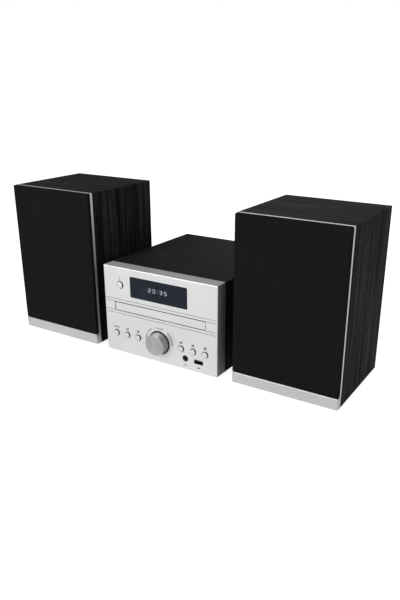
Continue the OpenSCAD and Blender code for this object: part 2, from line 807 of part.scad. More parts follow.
module tray_gear() {
    color("#f0ead8") translate([tray_gear_x, tray_gear_y, 0]) difference() {
        union() {
            translate([0, 0, wheel_z0]) linear_extrude(wheel_h)
                polygon(gear_points(wheel_teeth, mesh_turn));
            cylinder_between(rack_pinion_r - dedendum, wheel_z0 + eps, rack_tooth_z0 + eps);
            translate([0, 0, rack_tooth_z0]) linear_extrude(rack_tooth_z1 - rack_tooth_z0)
                polygon(gear_points(rack_pinion_teeth, 180));
        }
        cylinder_between(gear_pin_r + bore_gap, wheel_z0 - eps, rack_tooth_z1 + eps);
        for (a = [0:60:300]) rotate(a + 30)
            translate([(wheel_r + rack_pinion_r) / 2, 0, wheel_z0 - eps])
                cylinder(r = 2.8, h = wheel_h + 2 * eps);
    }
}

// Square belt around the two pulleys
module drive_belt() {
    z0 = pulley_z0 + (pulley_h - belt_h) / 2;
    color("#1a1a1a") translate([0, 0, z0]) linear_extrude(belt_h) difference() {
        belt_loop(belt_gap + belt_t);
        belt_loop(belt_gap);
    }
}

// Outline around both pulley grooves at a distance from them
module belt_loop(out) {
    hull() {
        translate([pulley_x, pulley_y]) circle(pulley_r + out);
        translate([motor_x, motor_y]) circle(motor_pulley_r + out);
    }
}

module spindle_motor() {
    can_h = 7;
    bore_r = motor_shaft_r + bore_gap;
    color("#a8abb0") translate([0, disc_y, 0]) rotate_extrude() polygon([[0, loader_top_z],
        [spindle_r, loader_top_z], [spindle_r, loader_top_z + can_h], [3, loader_top_z + can_h],
        [3, loader_top_z + can_h + 1.5], [bore_r, loader_top_z + can_h + 1.5], [bore_r, loader_top_z + 1],
        [0, loader_top_z + 1]]);
}

module turntable() {
    color("#2e2e2e") translate([0, disc_y, 0]) rotate_extrude() polygon([[0, loader_top_z + 2],
        [motor_shaft_r, loader_top_z + 2], [motor_shaft_r, table_z], [table_r, table_z],
        [table_r, table_z + table_t], [hub_r, table_z + table_t], [hub_r, table_z + table_t + hub_h - 1.5],
        [hub_r - 2.5, table_z + table_t + hub_h], [0, table_z + table_t + hub_h]]);
}

// Laser sled with its lens turret, sliding on two rods
module pickup_sled() {
    body_low = rod_z - 3;
    body_top = rod_z + 3.2;
    mid_y = sled_y0 + sled_len / 2;
    color("#4a4a4a") difference() {
        union() {
            block([-sled_half, sled_y0, body_low], [sled_half, sled_y0 + sled_len, body_top]);
            rod_z(0, mid_y, 6, body_top - eps, body_top + 1.5);
            rod_z(0, mid_y, 2.6, body_top - eps, body_top + 2.2);
        }
        for (x = [-1, 1] * rod_x)
            rod_y(x, rod_z, rod_r + bore_gap, sled_y0 - eps, sled_y0 + sled_len + eps);
    }
}

// Tray with two disc recesses, runners, tongues and its rack
module disc_tray() {
    color("#b9bcc0") {
        difference() {
            block([-tray_half, tray_y, deck_low_z], [tray_half, deck_end_y, deck_top_z]);
            rod_z(0, disc_y, disc_r, deck_top_z - disc_depth, deck_top_z + eps);
            rod_z(0, disc_y, small_disc_r, deck_top_z - disc_depth - small_disc_depth, deck_top_z);
            rod_z(0, disc_y, tray_hole_r, deck_low_z - eps, deck_top_z);
            block([-tray_hole_r, disc_y, deck_low_z - eps], [tray_hole_r, deck_end_y + eps, deck_top_z + eps]);
            for (s = [-1, 1]) rod_z(s * disc_r, disc_y, 14, deck_top_z - disc_depth, deck_top_z + eps);
        }
        for (s = [0, 1]) mirror([s, 0, 0]) extrude_y(tray_y, runner_end_y) runner_outline();
        tray_rack();
    }
}

// Runner along the tray's edge, with its tongue
module runner_outline() {
    translate([tray_half - runner_t, tray_low_z]) square([runner_t, deck_top_z - tray_low_z]);
    translate([tray_half - eps, slot_centre_z - tongue_h / 2]) square([tongue_w + eps, tongue_h]);
}

// Rack on the inside of the left runner, with a gap facing the pinion
module tray_rack() {
    root_x = rack_pitch_x - dedendum;
    tip_x = rack_pitch_x + addendum;
    flank = tan(pressure);
    half_pitch_tooth = pitch / 4 - gear_backlash / 4;
    root_half = half_pitch_tooth + dedendum * flank;
    tip_half = half_pitch_tooth - addendum * flank;
    last = floor((runner_end_y - tray_gear_y) / pitch - 1);
    teeth = [for (k = [-1:last]) tray_gear_y + (k + 0.5) * pitch];
    edge = [for (y = teeth) each [[root_x, y - root_half], [tip_x, y - tip_half],
        [tip_x, y + tip_half], [root_x, y + root_half]]];
    wall_x = -tray_half + runner_t - eps;
    translate([0, 0, tray_low_z]) linear_extrude(deck_low_z - tray_low_z)
        polygon(concat([[wall_x, teeth[0] - pitch / 2]], [[root_x, teeth[0] - pitch / 2]], edge,
            [[root_x, runner_end_y], [wall_x, runner_end_y]]));
}

// Door on the front of the tray
module tray_door() {
    w = slot_w - 2 * door_gap;
    h = slot_h - 2 * door_gap;
    color("silver") translate([0, door_y, slot_centre_z - h / 2]) soft_front(w, door_t, h, 0.5);
}

// Controls

// Round button with a soft edge, a retaining flange and a stem
module push_button(x, z, d) {
    r = d / 2;
    edge = 0.8;
    crown = 0.3;
    flange_r = r + run_gap + 1;
    flange_back = button_flange_y + button_flange_t;
    turned_y(x, z) polygon([[0, -button_out], [r * 0.5, -button_out + crown * 0.3],
        [r - edge, -button_out + crown], [r - edge * 0.3, -button_out + crown + edge * 0.3],
        [r, -button_out + crown + edge], [r, button_flange_y], [flange_r, button_flange_y],
        [flange_r, flange_back], [stem_r, flange_back], [stem_r, stem_end_y], [0, stem_end_y]]);
}

module power_button() {
    color("#c9cbce") push_button(power_x, window_centre_z, power_d);
}

module control_button(k) {
    color("#c9cbce") push_button(button_xs[k], button_centre_z, button_d);
}

// Hollow turned knob with its shaft
module volume_knob() {
    edge = 0.9;
    boss_r = bushing_r + 1.5;
    skin_y = -knob_out + knob_skin;
    boss_end = -0.8;
    shaft_end = board_y - 1;
    face_r = knob_r - 0.9;
    color("#a9abad") turned_y(0, knob_centre_z) polygon([[0, -knob_out], [face_r - edge, -knob_out],
        [face_r, -knob_out + edge], [knob_r, knob_back_y], [knob_r - knob_skin, knob_back_y],
        [face_r - knob_skin, skin_y], [boss_r, skin_y], [boss_r, boss_end],
        [knob_shaft_r, boss_end], [knob_shaft_r, shaft_end], [0, shaft_end]]);
}

// Rear connections

// Figure of eight mains inlet with two pins
module mains_inlet() {
    pin_r = 1.2;
    well_r = 4.6;
    well_y = rec_d - 12;
    body_y = rec_d - 18;
    color("#161616") translate([inlet_x, 0, inlet_z]) {
        difference() {
            union() {
                extrude_y(rec_d, rec_d + lip) round_rect(inlet_w + 2 * lip, inlet_h + 2 * lip, 2);
                extrude_y(body_y, rec_d + eps) square([inlet_w, inlet_h], center = true);
            }
            extrude_y(well_y, rec_d + lip + eps) {
                for (x = [-1, 1] * pin_spacing / 2) translate([x, 0]) circle(well_r);
                square([pin_spacing, 2 * well_r - 2], center = true);
            }
        }
        for (x = [-1, 1] * pin_spacing / 2) rod_y(x, 0, pin_r, well_y - eps, rec_d - 2);
    }
}

// Line-in pair and aerial socket: one moulded body with three barrels seated on it
module rear_sockets() {
    side = 10;
    body_d = 15;
    color("#202020") {
        block([aerial_x - side, rear_y - body_d, main_top_z],
            [phono_xs[1] + side, rear_y - eps, rear_socket_z + side - 1]);
        for (x = phono_xs) socket_barrel(x, phono_r);
        socket_barrel(aerial_x, aerial_r);
    }
}

// Barrel of a round plug socket, with a blind bore from its open end
module socket_barrel(x, r) {
    edge = 0.5;
    end_y = rec_d + barrel_out;
    turned_y(x, rear_socket_z) polygon([[0, rear_y], [r, rear_y], [r, end_y - edge],
        [r - edge, end_y], [barrel_bore_r, end_y], [barrel_bore_r, barrel_bore_y], [0, barrel_bore_y]]);
}

// Four sprung wire terminals in one block
module speaker_terminals() {
    bay_y = lever_y - lever_h * sin(lever_swing) - lever_t - run_gap;
    wire_r = 1.7;
    bay_z0 = terminal_z - 3;
    bay_z1 = terminal_z + lever_h + (lever_tip_y - lever_y) * sin(lever_swing) + run_gap;
    color("#1a1a1a") difference() {
        translate([terminal_x, 0, terminal_z]) {
            extrude_y(rec_d, rec_d + lip) round_rect(terminal_w + 2 * lip, terminal_h + 2 * lip, 1.5);
            extrude_y(rec_d - 12, rec_d + eps) square([terminal_w, terminal_h], center = true);
        }
        for (x = lever_xs) {
            block([x - bay_w / 2, bay_y, bay_z0], [x + bay_w / 2, rec_d + lip + eps, bay_z1]);
            block([x - wire_r, rec_d - 9, terminal_z - 8 - wire_r],
                [x + wire_r, rec_d + lip + eps, terminal_z - 8 + wire_r]);
        }
        translate([lever_xs[0] - terminal_pitch / 2 + 0.3, lever_y, terminal_z]) rotate([0, 90, 0])
            cylinder(r = lever_pin_r + bore_gap, h = terminal_w - 0.6);
    }
}

// Terminal lever with its pivot stubs and thumb ledge
module terminal_lever(k) {
    stub = 0.8;
    ledge = 3;
    barrel_r = lever_t / 2 + 0.3;
    color(k % 2 == 0 ? "#b02020" : "#222222") translate([lever_xs[k], lever_y, terminal_z]) {
        extrude_x(-lever_w / 2, lever_w / 2) {
            circle(barrel_r);
            translate([-lever_t / 2, 0]) square([lever_t, lever_h]);
            translate([-lever_t / 2, lever_h - ledge]) square([lever_tip_y - lever_y + lever_t / 2, ledge]);
        }
        rotate([0, 90, 0]) translate([0, 0, -lever_w / 2 - stub])
            cylinder(r = lever_pin_r, h = lever_w + 2 * stub);
    }
}

// Speakers, drawn about x = 0 with the grille's front at y = 0

module spk_cabinet() {
    inner_w = spk_w - 2 * cabinet_wall;
    inner_h = spk_h - 2 * cabinet_wall;
    color("#241f1c") difference() {
        block([-spk_w / 2, cabinet_y, base_z], [spk_w / 2, spk_d, base_z + spk_h]);
        block([-inner_w / 2, cabinet_y - eps, base_z + cabinet_wall],
            [inner_w / 2, spk_d - cabinet_wall, base_z + cabinet_wall + inner_h]);
        rod_y(0, gland_z, gland_r + 3 + fit_gap, spk_d - cabinet_wall - eps, spk_d + eps);
    }
}

// Silver front plate with the band below the grille, driver holes and peg sockets
module spk_front_frame() {
    flare = 4;
    dome_hole_r = tweeter_r - 13;
    boss_end = cabinet_y + 4;
    color("#b5b7ba") difference() {
        union() {
            block([-spk_w / 2, plate_y, base_z], [spk_w / 2, cabinet_y, base_z + spk_h]);
            translate([0, 0, base_z]) soft_front(spk_w, grille_t + eps, band_h, 0.8);
            for (x = peg_xs, z = peg_zs) rod_y(x, z, peg_r + socket_wall, cabinet_y - eps, boss_end);
        }
        rod_y(0, woofer_centre_z, woofer_open_r, plate_y - eps, cabinet_y + eps);
        turned_y(0, tweeter_centre_z) polygon([[0, plate_y - eps], [dome_hole_r + flare, plate_y - eps],
            [dome_hole_r, cabinet_y + eps], [0, cabinet_y + eps]]);
        for (x = peg_xs, z = peg_zs)
            rod_y(x, z, peg_r + bore_gap, plate_y - eps, grille_back_y + peg_len + 1);
    }
}

// Moulded lattice behind the cloth, with four pegs
module spk_grille_frame() {
    w = spk_w - 2 * cloth_t;
    h = grille_h - 2 * cloth_t;
    cells_x = 3;
    cells_z = 4;
    cell_w = (w - 2 * grille_rim - (cells_x - 1) * grille_rib) / cells_x;
    cell_h = (h - 2 * grille_rim - (cells_z - 1) * grille_rib) / cells_z;
    color("#141414") {
        translate([0, 0, grille_mid_z]) extrude_y(cloth_t, grille_back_y) difference() {
            round_rect(w, h, grille_edge - cloth_t);
            difference() {
                for (i = [0:cells_x - 1], k = [0:cells_z - 1])
                    translate([-w / 2 + grille_rim + i * (cell_w + grille_rib),
                        -h / 2 + grille_rim + k * (cell_h + grille_rib)]) square([cell_w, cell_h]);
                for (x = peg_xs, z = peg_zs) translate([x, z - grille_mid_z])
                    square(2 * (peg_r + socket_wall + 5), center = true);
            }
        }
        for (x = peg_xs, z = peg_zs) rod_y(x, z, peg_r, grille_back_y - eps, grille_back_y + peg_len);
    }
}

// Cloth stretched over the lattice and its edges
module spk_grille_cloth() {
    color("#0c0c0c") translate([0, 0, grille_mid_z]) {
        extrude_y(0, cloth_t) round_rect(spk_w, grille_h, grille_edge);
        extrude_y(cloth_t - eps, grille_back_y) difference() {
            round_rect(spk_w, grille_h, grille_edge);
            round_rect(spk_w - 2 * cloth_t, grille_h - 2 * cloth_t, grille_edge - cloth_t);
        }
    }
}

// Basket with six windows, magnet and pole
module spk_woofer_frame() {
    flange_t = 2;
    rim_y = cabinet_y + flange_t;
    skirt_y = cabinet_y + 8;
    wall = 2;
    gap = 1.4;
    well_y = magnet_y + 9;
    color("#4b4d50") difference() {
        turned_y(0, woofer_centre_z) polygon([[seat_r, cabinet_y], [woofer_r, cabinet_y],
            [woofer_r, rim_y], [seat_r + wall, rim_y], [seat_r + wall / 2, skirt_y],
            [magnet_r - 4, magnet_y - 2], [magnet_r, magnet_y], [magnet_r, magnet_y + magnet_t],
            [0, magnet_y + magnet_t], [0, magnet_y], [coil_r - gap, magnet_y], [coil_r - gap, well_y],
            [coil_r + gap, well_y], [coil_r + gap, magnet_y - 2], [magnet_r - 4 - wall, magnet_y - 2 - wall],
            [seat_r - wall, skirt_y], [seat_r - wall, cone_y + surround_skin], [seat_r, cone_y + surround_skin]]);
        for (a = [0:60:300]) translate([0, 0, woofer_centre_z]) rotate([0, a, 0])
            translate([-8, skirt_y + 2, coil_r + 3]) cube([16, magnet_y - skirt_y - 8, woofer_r]);
    }
}

// Paper cone with its dust cap and voice coil former
module spk_woofer_cone() {
    dish = 5;
    former_end = magnet_y + 6;
    inner_r = coil_r - 0.6;
    cap_y = neck_y - 6;
    color("#191919") turned_y(0, woofer_centre_z) polygon(concat(
        [for (k = [0:6]) [inner_r * sin(15 * k), cap_y + dish * (1 - cos(15 * k))]],
        [[inner_r + 0.6, neck_y - 3], [cone_r, cone_y], [cone_r, cone_y + cone_skin],
         [inner_r + 1.4, neck_y], [coil_r, neck_y], [coil_r, former_end], [inner_r, former_end]],
        [for (k = [6:-1:0]) [(inner_r - 0.5) * sin(15 * k), cap_y + 0.6 + dish * (1 - cos(15 * k))]]));
}

// Half-round rubber roll between the cone and the basket
module spk_woofer_surround() {
    in_r = cone_r + 0.3;
    out_r = seat_r - fit_gap;
    mid_r = (in_r + out_r) / 2 - 0.5;
    roll_r = (out_r - in_r) / 2 - 1;
    skin = surround_skin;
    color("#101010") turned_y(0, woofer_centre_z) polygon(concat(
        [[in_r, cone_y]],
        [for (a = [0:20:180]) [mid_r - roll_r * cos(a), cone_y - roll_r * sin(a)]],
        [[out_r, cone_y], [out_r, cone_y + skin]],
        [for (a = [180:-20:0]) [mid_r - (roll_r - skin) * cos(a), cone_y + skin - (roll_r - skin) * sin(a)]],
        [[in_r, cone_y + skin]]));
}

// Dome tweeter clamped behind the plate
module spk_tweeter() {
    dome_r = 10;
    dome_y = cabinet_y - 2.5;
    body_r = 20;
    color("#303235") turned_y(0, tweeter_centre_z) polygon(concat(
        [for (k = [0:6]) [dome_r * sin(15 * k), dome_y + 2.5 * (1 - cos(15 * k))]],
        [[tweeter_r, cabinet_y], [tweeter_r, cabinet_y + 2.4], [body_r, cabinet_y + 2.4],
         [body_r, cabinet_y + 18], [0, cabinet_y + 18]]));
}

module spk_cable_gland() {
    body_r = gland_r + 3;
    head = 1.5;
    color("#121212") turned_y(0, gland_z) polygon([[gland_r, spk_d - cabinet_wall - 2],
        [body_r, spk_d - cabinet_wall - 2], [body_r, spk_d], [body_r + 2, spk_d],
        [body_r + 1.2, spk_d + head], [gland_r, spk_d + head]]);
}

module spk_feet() {
    color("#181818") for (x = [-1, 1] * (spk_w / 2 - foot_inset),
            y = [cabinet_y + foot_inset, spk_d - foot_inset])
        rubber_foot(x, y, base_z);
}

// One piece of a speaker by its name
module speaker_piece(p) {
    if (p == "cabinet") spk_cabinet();
    if (p == "front_frame") spk_front_frame();
    if (p == "grille_frame") spk_grille_frame();
    if (p == "grille_cloth") spk_grille_cloth();
    if (p == "woofer_frame") spk_woofer_frame();
    if (p == "woofer_cone") spk_woofer_cone();
    if (p == "woofer_surround") spk_woofer_surround();
    if (p == "tweeter") spk_tweeter();
    if (p == "cable_gland") spk_cable_gland();
    if (p == "feet") spk_feet();
}

// Move from the front panel's plane to the middle of the set
module place() {
    translate([0, -origin_y, 0]) children();
}

module place_speaker(s) {
    translate([side_sign(s) * speaker_x, speaker_setback - origin_y, 0]) children();
}

place() bottom_chassis();
place() top_cover();
place() rear_panel();
place() front_fascia();
place() knob_collar();
place() display_lens();
place() display_module();
place() control_board();
place() headphone_jack();
place() usb_socket();
place() main_board();
place() mains_inlet();
place() rear_sockets();
place() speaker_terminals();
place() loader_frame();
place() clamp_bridge();
place() loading_motor();
place() drive_belt();
place() spindle_motor();
place() receiver_feet();
place() disc_tray();
place() tray_door();
place() tray_gear();
place() pulley_gear();
place() motor_pulley();
place() clamp_puck();
place() turntable();
place() pickup_sled();
place() volume_knob();
place() power_button();
for (k = [0:5])
    place() control_button(k);
for (k = [0:3])
    place() terminal_lever(k);
for (s = sides, p = speaker_pieces)
    place_speaker(s) speaker_piece(p);
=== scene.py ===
# %% [markdown]
# # A mini hifi system
# The set is a silver-fronted receiver between two speakers in dark wood grain.
# Its solids are already exact, so the frame is loaded first and stays as it is.
# This lesson gives every solid a finish with real detail, then adds what is sewn, printed, lit or screwed on.

# %% Load the frame
import bpy
import math
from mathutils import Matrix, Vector


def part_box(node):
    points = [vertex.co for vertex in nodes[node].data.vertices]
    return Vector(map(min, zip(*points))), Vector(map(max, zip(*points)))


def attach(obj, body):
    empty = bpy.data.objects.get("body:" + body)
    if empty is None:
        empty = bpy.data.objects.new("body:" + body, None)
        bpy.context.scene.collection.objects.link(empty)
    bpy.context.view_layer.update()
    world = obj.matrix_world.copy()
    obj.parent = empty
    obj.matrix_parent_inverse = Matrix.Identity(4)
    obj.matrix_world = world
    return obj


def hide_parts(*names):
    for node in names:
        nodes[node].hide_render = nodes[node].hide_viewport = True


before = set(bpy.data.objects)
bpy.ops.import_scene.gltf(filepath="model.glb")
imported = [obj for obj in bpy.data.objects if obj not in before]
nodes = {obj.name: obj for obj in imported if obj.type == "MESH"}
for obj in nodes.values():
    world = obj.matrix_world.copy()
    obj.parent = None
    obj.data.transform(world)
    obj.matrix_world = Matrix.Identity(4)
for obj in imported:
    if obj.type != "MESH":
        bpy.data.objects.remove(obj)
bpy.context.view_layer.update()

MM = 0.001


# %% [markdown]
# ## Camera
# The photograph was taken with a normal lens, a little above the set and to its right. A camera could be placed
# by eye, but then no edge would fall quite on its place. So this one was worked out from the straight edges of
# the photograph. The small shift stands for the picture having been cropped off centre.

# %% Camera
bpy.ops.object.select_all(action="DESELECT")
bpy.ops.object.camera_add(location=(0.45807, -0.71528, 0.36343),
                          rotation=(math.radians(68.755), 0, math.radians(32.05)))
camera = bpy.context.object
camera.name = "photo_camera"
camera.data.sensor_width = 36
camera.data.lens = 37.60
camera.data.shift_x = -0.0095
camera.data.shift_y = 0.0305
camera.data.clip_start = 0.01
bpy.context.scene.camera = camera
bpy.context.scene.view_settings.view_transform = "Standard"
print("camera", tuple(round(v, 3) for v in camera.location))


# %% [markdown]
# ## Light
# A product picture like this has one soft lamp high in front, weak ones at the right and behind, and a white room.
# A white world alone could light it, but it would make the tops as bright as the fronts. So the room is white to
# the eye and dim as a light, and the three lamps do the work.

# %% Room
SKY_LIGHT = 0.28


def seen_by(tree, *kinds):
    """1 for the kinds of ray that are named, and 0 for the rest."""
    path = tree.nodes.new("ShaderNodeLightPath")
    total = path.outputs[f"Is {kinds[0]} Ray"]
    for kind in kinds[1:]:
        either = tree.nodes.new("ShaderNodeMath")
        either.operation = "MAXIMUM"
        tree.links.new(total, either.inputs[0])
        tree.links.new(path.outputs[f"Is {kind} Ray"], either.inputs[1])
        total = either.outputs[0]
    return total


def from_to(tree, share, low, high):
    """Turns a share from 0 to 1 into a value from low to high."""
    spread = tree.nodes.new("ShaderNodeMapRange")
    spread.inputs["To Min"].default_value = low
    spread.inputs["To Max"].default_value = high
    tree.links.new(share, spread.inputs["Value"])
    return spread.outputs["Result"]


room = bpy.data.worlds.new("white_room")
room.use_nodes = True
bpy.context.scene.world = room
tree = room.node_tree
sky = tree.nodes["Background"]
sky.inputs["Color"].default_value = (1, 1, 1, 1)
sky_level = from_to(tree, seen_by(tree, "Camera", "Transmission"), SKY_LIGHT, 1.0)
tree.links.new(sky_level, sky.inputs["Strength"])
print("room strength as a light:", SKY_LIGHT)


# %% Lamps
def soft_lamp(name, place, aim, size, watts):
    bpy.ops.object.select_all(action="DESELECT")
    turn = (Vector(aim) - Vector(place)).to_track_quat("-Z", "Y").to_euler()
    bpy.ops.object.light_add(type="AREA", location=place, rotation=turn)
    lamp = bpy.context.object
    lamp.name = name
    lamp.data.shape = "RECTANGLE"
    lamp.data.size = size[0]
    lamp.data.size_y = size[1]
    lamp.data.energy = watts


soft_lamp("front_lamp", (-0.7, -2.0, 1.25), (0, 0, 0.1), (1.6, 1.1), 39.5)
soft_lamp("right_lamp", (2.3, -0.75, 0.65), (0.25, 0, 0.1), (1.2, 1.0), 11)
soft_lamp("back_lamp", (-0.55, 2.05, 0.74), (0.1, 0, 0.15), (1.1, 0.5), 2.0)


# %% [markdown]
# ## Floor
# The set stands on white paper. A plain white surface would turn grey wherever the lamps are weak. So the floor is
# matt with a glow added for the eye and for mirrors: it stays white, and it still holds a shadow.

# %% Floor
FLOOR_SIZE, FLOOR_TONE = 14, 0.72
GLOW_TO_EYE, GLOW_TO_MIRRORS = 0.87, 0.32
bpy.ops.object.select_all(action="DESELECT")
bpy.ops.mesh.primitive_plane_add(size=FLOOR_SIZE, location=(0, 0, 0))
floor = bpy.context.object
floor.name = "studio_floor"
paper = bpy.data.materials.new("floor_paper")
paper.use_nodes = True
tree = paper.node_tree
tree.nodes.remove(tree.nodes["Principled BSDF"])
matt = tree.nodes.new("ShaderNodeBsdfDiffuse")
matt.inputs["Color"].default_value = (FLOOR_TONE, FLOOR_TONE, FLOOR_TONE, 1)
glow = tree.nodes.new("ShaderNodeEmission")
glow_level = tree.nodes.new("ShaderNodeMath")
glow_level.operation = "MAXIMUM"
to_eye = from_to(tree, seen_by(tree, "Camera", "Transmission"), 0.0, GLOW_TO_EYE)
to_mirrors = from_to(tree, seen_by(tree, "Glossy"), 0.0, GLOW_TO_MIRRORS)
tree.links.new(to_eye, glow_level.inputs[0])
tree.links.new(to_mirrors, glow_level.inputs[1])
tree.links.new(glow_level.outputs[0], glow.inputs["Strength"])
total = tree.nodes.new("ShaderNodeAddShader")
tree.links.new(matt.outputs[0], total.inputs[0])
tree.links.new(glow.outputs[0], total.inputs[1])
tree.links.new(total.outputs[0], tree.nodes["Material Output"].inputs["Surface"])
floor.data.materials.append(paper)
print("floor at z =", floor.location.z)


# %% [markdown]
# ## Painted and moulded finishes
# Most surfaces of such a set are paint or moulded plastic. Seen closely they are never one flat colour: there is a
# grain of a fraction of a millimetre, and slow clouds of a few centimetres in the colour and the gloss. Pictures
# could give this, but they would need unwrapped surfaces. So one helper builds it from two noises on Object
# coordinates, which are metres here because each object sits at the origin.

# %% Start of a finish
def start_finish(name, roughness, metallic=0.0, specular=0.5):
    finish = bpy.data.materials.new(name)
    finish.use_nodes = True
    shader = finish.node_tree.nodes["Principled BSDF"]
    shader.inputs["Roughness"].default_value = roughness
    shader.inputs["Metallic"].default_value = metallic
    shader.inputs["Specular IOR Level"].default_value = specular
    return finish, finish.node_tree, shader


def place_in_metres(tree, scale=(1, 1, 1), offset=(0, 0, 0)):
    where = tree.nodes.new("ShaderNodeTexCoord")
    mapping = tree.nodes.new("ShaderNodeMapping")
    mapping.inputs["Location"].default_value = offset
    mapping.inputs["Scale"].default_value = scale
    tree.links.new(where.outputs["Object"], mapping.inputs["Vector"])
    return mapping.outputs["Vector"]


def noise(tree, vector, scale, detail=2.0, roughness=0.5):
    cloud = tree.nodes.new("ShaderNodeTexNoise")
    cloud.inputs["Scale"].default_value = scale
    cloud.inputs["Detail"].default_value = detail
    cloud.inputs["Roughness"].default_value = roughness
    tree.links.new(vector, cloud.inputs["Vector"])
    return cloud.outputs["Fac"]


print("helpers: start_finish, place_in_metres, noise")


# %% Sums, colours and relief
def math_node(tree, operation, first, second=0.0):
    calc = tree.nodes.new("ShaderNodeMath")
    calc.operation = operation
    for socket, value in zip(calc.inputs, (first, second)):
        if isinstance(value, (int, float)):
            socket.default_value = value
        else:
            tree.links.new(value, socket)
    return calc.outputs[0]


def weighted(tree, first, share, second, rest):
    """The sum of two values, each times its share."""
    return math_node(tree, "ADD", math_node(tree, "MULTIPLY", first, share),
                     math_node(tree, "MULTIPLY", second, rest))


def colour_between(tree, share, dark, light, low=0.3, high=0.7):
    ramp = tree.nodes.new("ShaderNodeValToRGB")
    ramp.color_ramp.elements[0].position = low
    ramp.color_ramp.elements[0].color = (*dark, 1)
    ramp.color_ramp.elements[1].position = high
    ramp.color_ramp.elements[1].color = (*light, 1)
    tree.links.new(share, ramp.inputs["Fac"])
    return ramp.outputs["Color"]


def relief(tree, shader, height, depth):
    bump = tree.nodes.new("ShaderNodeBump")
    bump.inputs["Distance"].default_value = depth
    bump.inputs["Strength"].default_value = 1.0
    tree.links.new(height, bump.inputs["Height"])
    tree.links.new(bump.outputs["Normal"], shader.inputs["Normal"])


print("helpers: math_node, weighted, colour_between, relief")


# %% Grained finish
CLOUDS_PER_METRE, GLOSS_SWING = 22, 0.07


def grained(name, dark, light, rough, grain_mm, depth_mm, metallic=0.0, specular=0.5):
    finish, tree, shader = start_finish(name, rough, metallic, specular)
    where = place_in_metres(tree)
    clouds = noise(tree, where, CLOUDS_PER_METRE, 4)
    specks = noise(tree, where, 1 / (grain_mm * MM), 2)
    share = weighted(tree, clouds, 0.55, specks, 0.45)
    tree.links.new(colour_between(tree, share, dark, light), shader.inputs["Base Color"])
    gloss = from_to(tree, specks, rough - GLOSS_SWING, rough + GLOSS_SWING)
    tree.links.new(gloss, shader.inputs["Roughness"])
    relief(tree, shader, specks, depth_mm * MM)
    return finish


silver_trim = grained("satin_silver_trim", (0.59, 0.59, 0.59), (0.67, 0.67, 0.67), 0.40, 0.5, 0.006, 0.65)
button_silver = grained("button_silver", (0.72, 0.72, 0.73), (0.80, 0.80, 0.81), 0.30, 0.4, 0.003, 0.6)
cover_paint = grained("black_case_paint", (0.012, 0.012, 0.013), (0.020, 0.020, 0.021), 0.55, 0.7, 0.03, 0, 0.03)
chassis_paint = grained("black_chassis_paint", (0.020, 0.020, 0.022), (0.034, 0.034, 0.036),
                        0.5, 0.6, 0.02, 0, 0.35)
black_plastic = grained("black_moulding", (0.011, 0.011, 0.012), (0.022, 0.022, 0.023), 0.5, 0.35, 0.012, 0, 0.4)
rubber = grained("foot_rubber", (0.010, 0.010, 0.010), (0.020, 0.020, 0.019), 0.8, 0.8, 0.03, 0, 0.3)
tray_grey = grained("tray_moulding", (0.30, 0.305, 0.31), (0.36, 0.365, 0.37), 0.48, 0.4, 0.01)
acetal = grained("gear_moulding", (0.66, 0.63, 0.55), (0.74, 0.72, 0.64), 0.42, 0.6, 0.006)
lever_red = grained("red_lever", (0.36, 0.012, 0.012), (0.48, 0.022, 0.020), 0.32, 0.5, 0.005)
lever_black = grained("black_lever", (0.013, 0.013, 0.014), (0.024, 0.024, 0.025), 0.32, 0.5, 0.005)
basket_paint = grained("driver_paint", (0.03, 0.03, 0.032), (0.05, 0.05, 0.053), 0.42, 0.4, 0.01)
SILVER = (0.735, 0.735, 0.74), (0.815, 0.815, 0.82)
fascia_paint = grained("painted_front_panel", *SILVER, 0.42, 0.5, 0.006, 0.65)
door_paint = grained("painted_tray_door", *SILVER, 0.42, 0.5, 0.006, 0.65)
print("grained finishes:", [m.name for m in bpy.data.materials if m != paper])


# %% [markdown]
# ## Paint and painted shade on the front panel
# Silver paint is sprayed at the front of the panel. Its narrow sides are painted a dark dull grey and its top a
# darker dull grey than the front, as painted shade. The grooves, the slot of the tray and the inside are painted
# dark as painted shade, and so are the edges of the tray door and the sides of the buttons. Two materials on one
# part would need its faces sorted. So each finish changes its tone by place: how deep a point lies, and which way
# its face looks.

# %% Coordinates and masks
def separate(tree, vector):
    split = tree.nodes.new("ShaderNodeSeparateXYZ")
    tree.links.new(vector, split.inputs[0])
    return split.outputs["X"], split.outputs["Y"], split.outputs["Z"]


def coordinates(tree):
    """X, Y and Z in metres."""
    return separate(tree, place_in_metres(tree))


def facing(tree):
    """How far a face looks along X, Y and Z."""
    return separate(tree, tree.nodes.new("ShaderNodeNewGeometry").outputs["Normal"])


def rest_of(tree, share):
    return math_node(tree, "SUBTRACT", 1.0, share)


def both(tree, first, second):
    """1 where two masks are 1."""
    return math_node(tree, "MULTIPLY", first, second)


def near(tree, value, middle, reach):
    """1 where a value lies closer than reach to middle."""
    off = math_node(tree, "ABSOLUTE", math_node(tree, "SUBTRACT", value, middle))
    return math_node(tree, "LESS_THAN", off, reach)


print("helpers: separate, coordinates, facing, rest_of, both, near")

# %% Masks on the front panel
FRONT_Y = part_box("front_fascia")[0].y
PANEL_HALF_W, PANEL_HALF_H, PANEL_MIDDLE_Z = 88 * MM, 59.5 * MM, 64.5 * MM
SLOT_REACH = 0.55 * MM


def deeper_than(finish, depth_mm):
    """1 behind a plane so far behind the front of the panel."""
    tree = finish.node_tree
    return math_node(tree, "GREATER_THAN", coordinates(tree)[1], FRONT_Y + depth_mm * MM)


def higher_than(finish, level):
    tree = finish.node_tree
    return math_node(tree, "GREATER_THAN", coordinates(tree)[2], level)


def inside_panel(finish, depth_mm):
    """1 behind a plane, but only within the walls of the panel."""
    tree = finish.node_tree
    x, _, z = coordinates(tree)
    within = both(tree, near(tree, x, 0.0, PANEL_HALF_W), near(tree, z, PANEL_MIDDLE_Z, PANEL_HALF_H))
    return both(tree, deeper_than(finish, depth_mm), within)


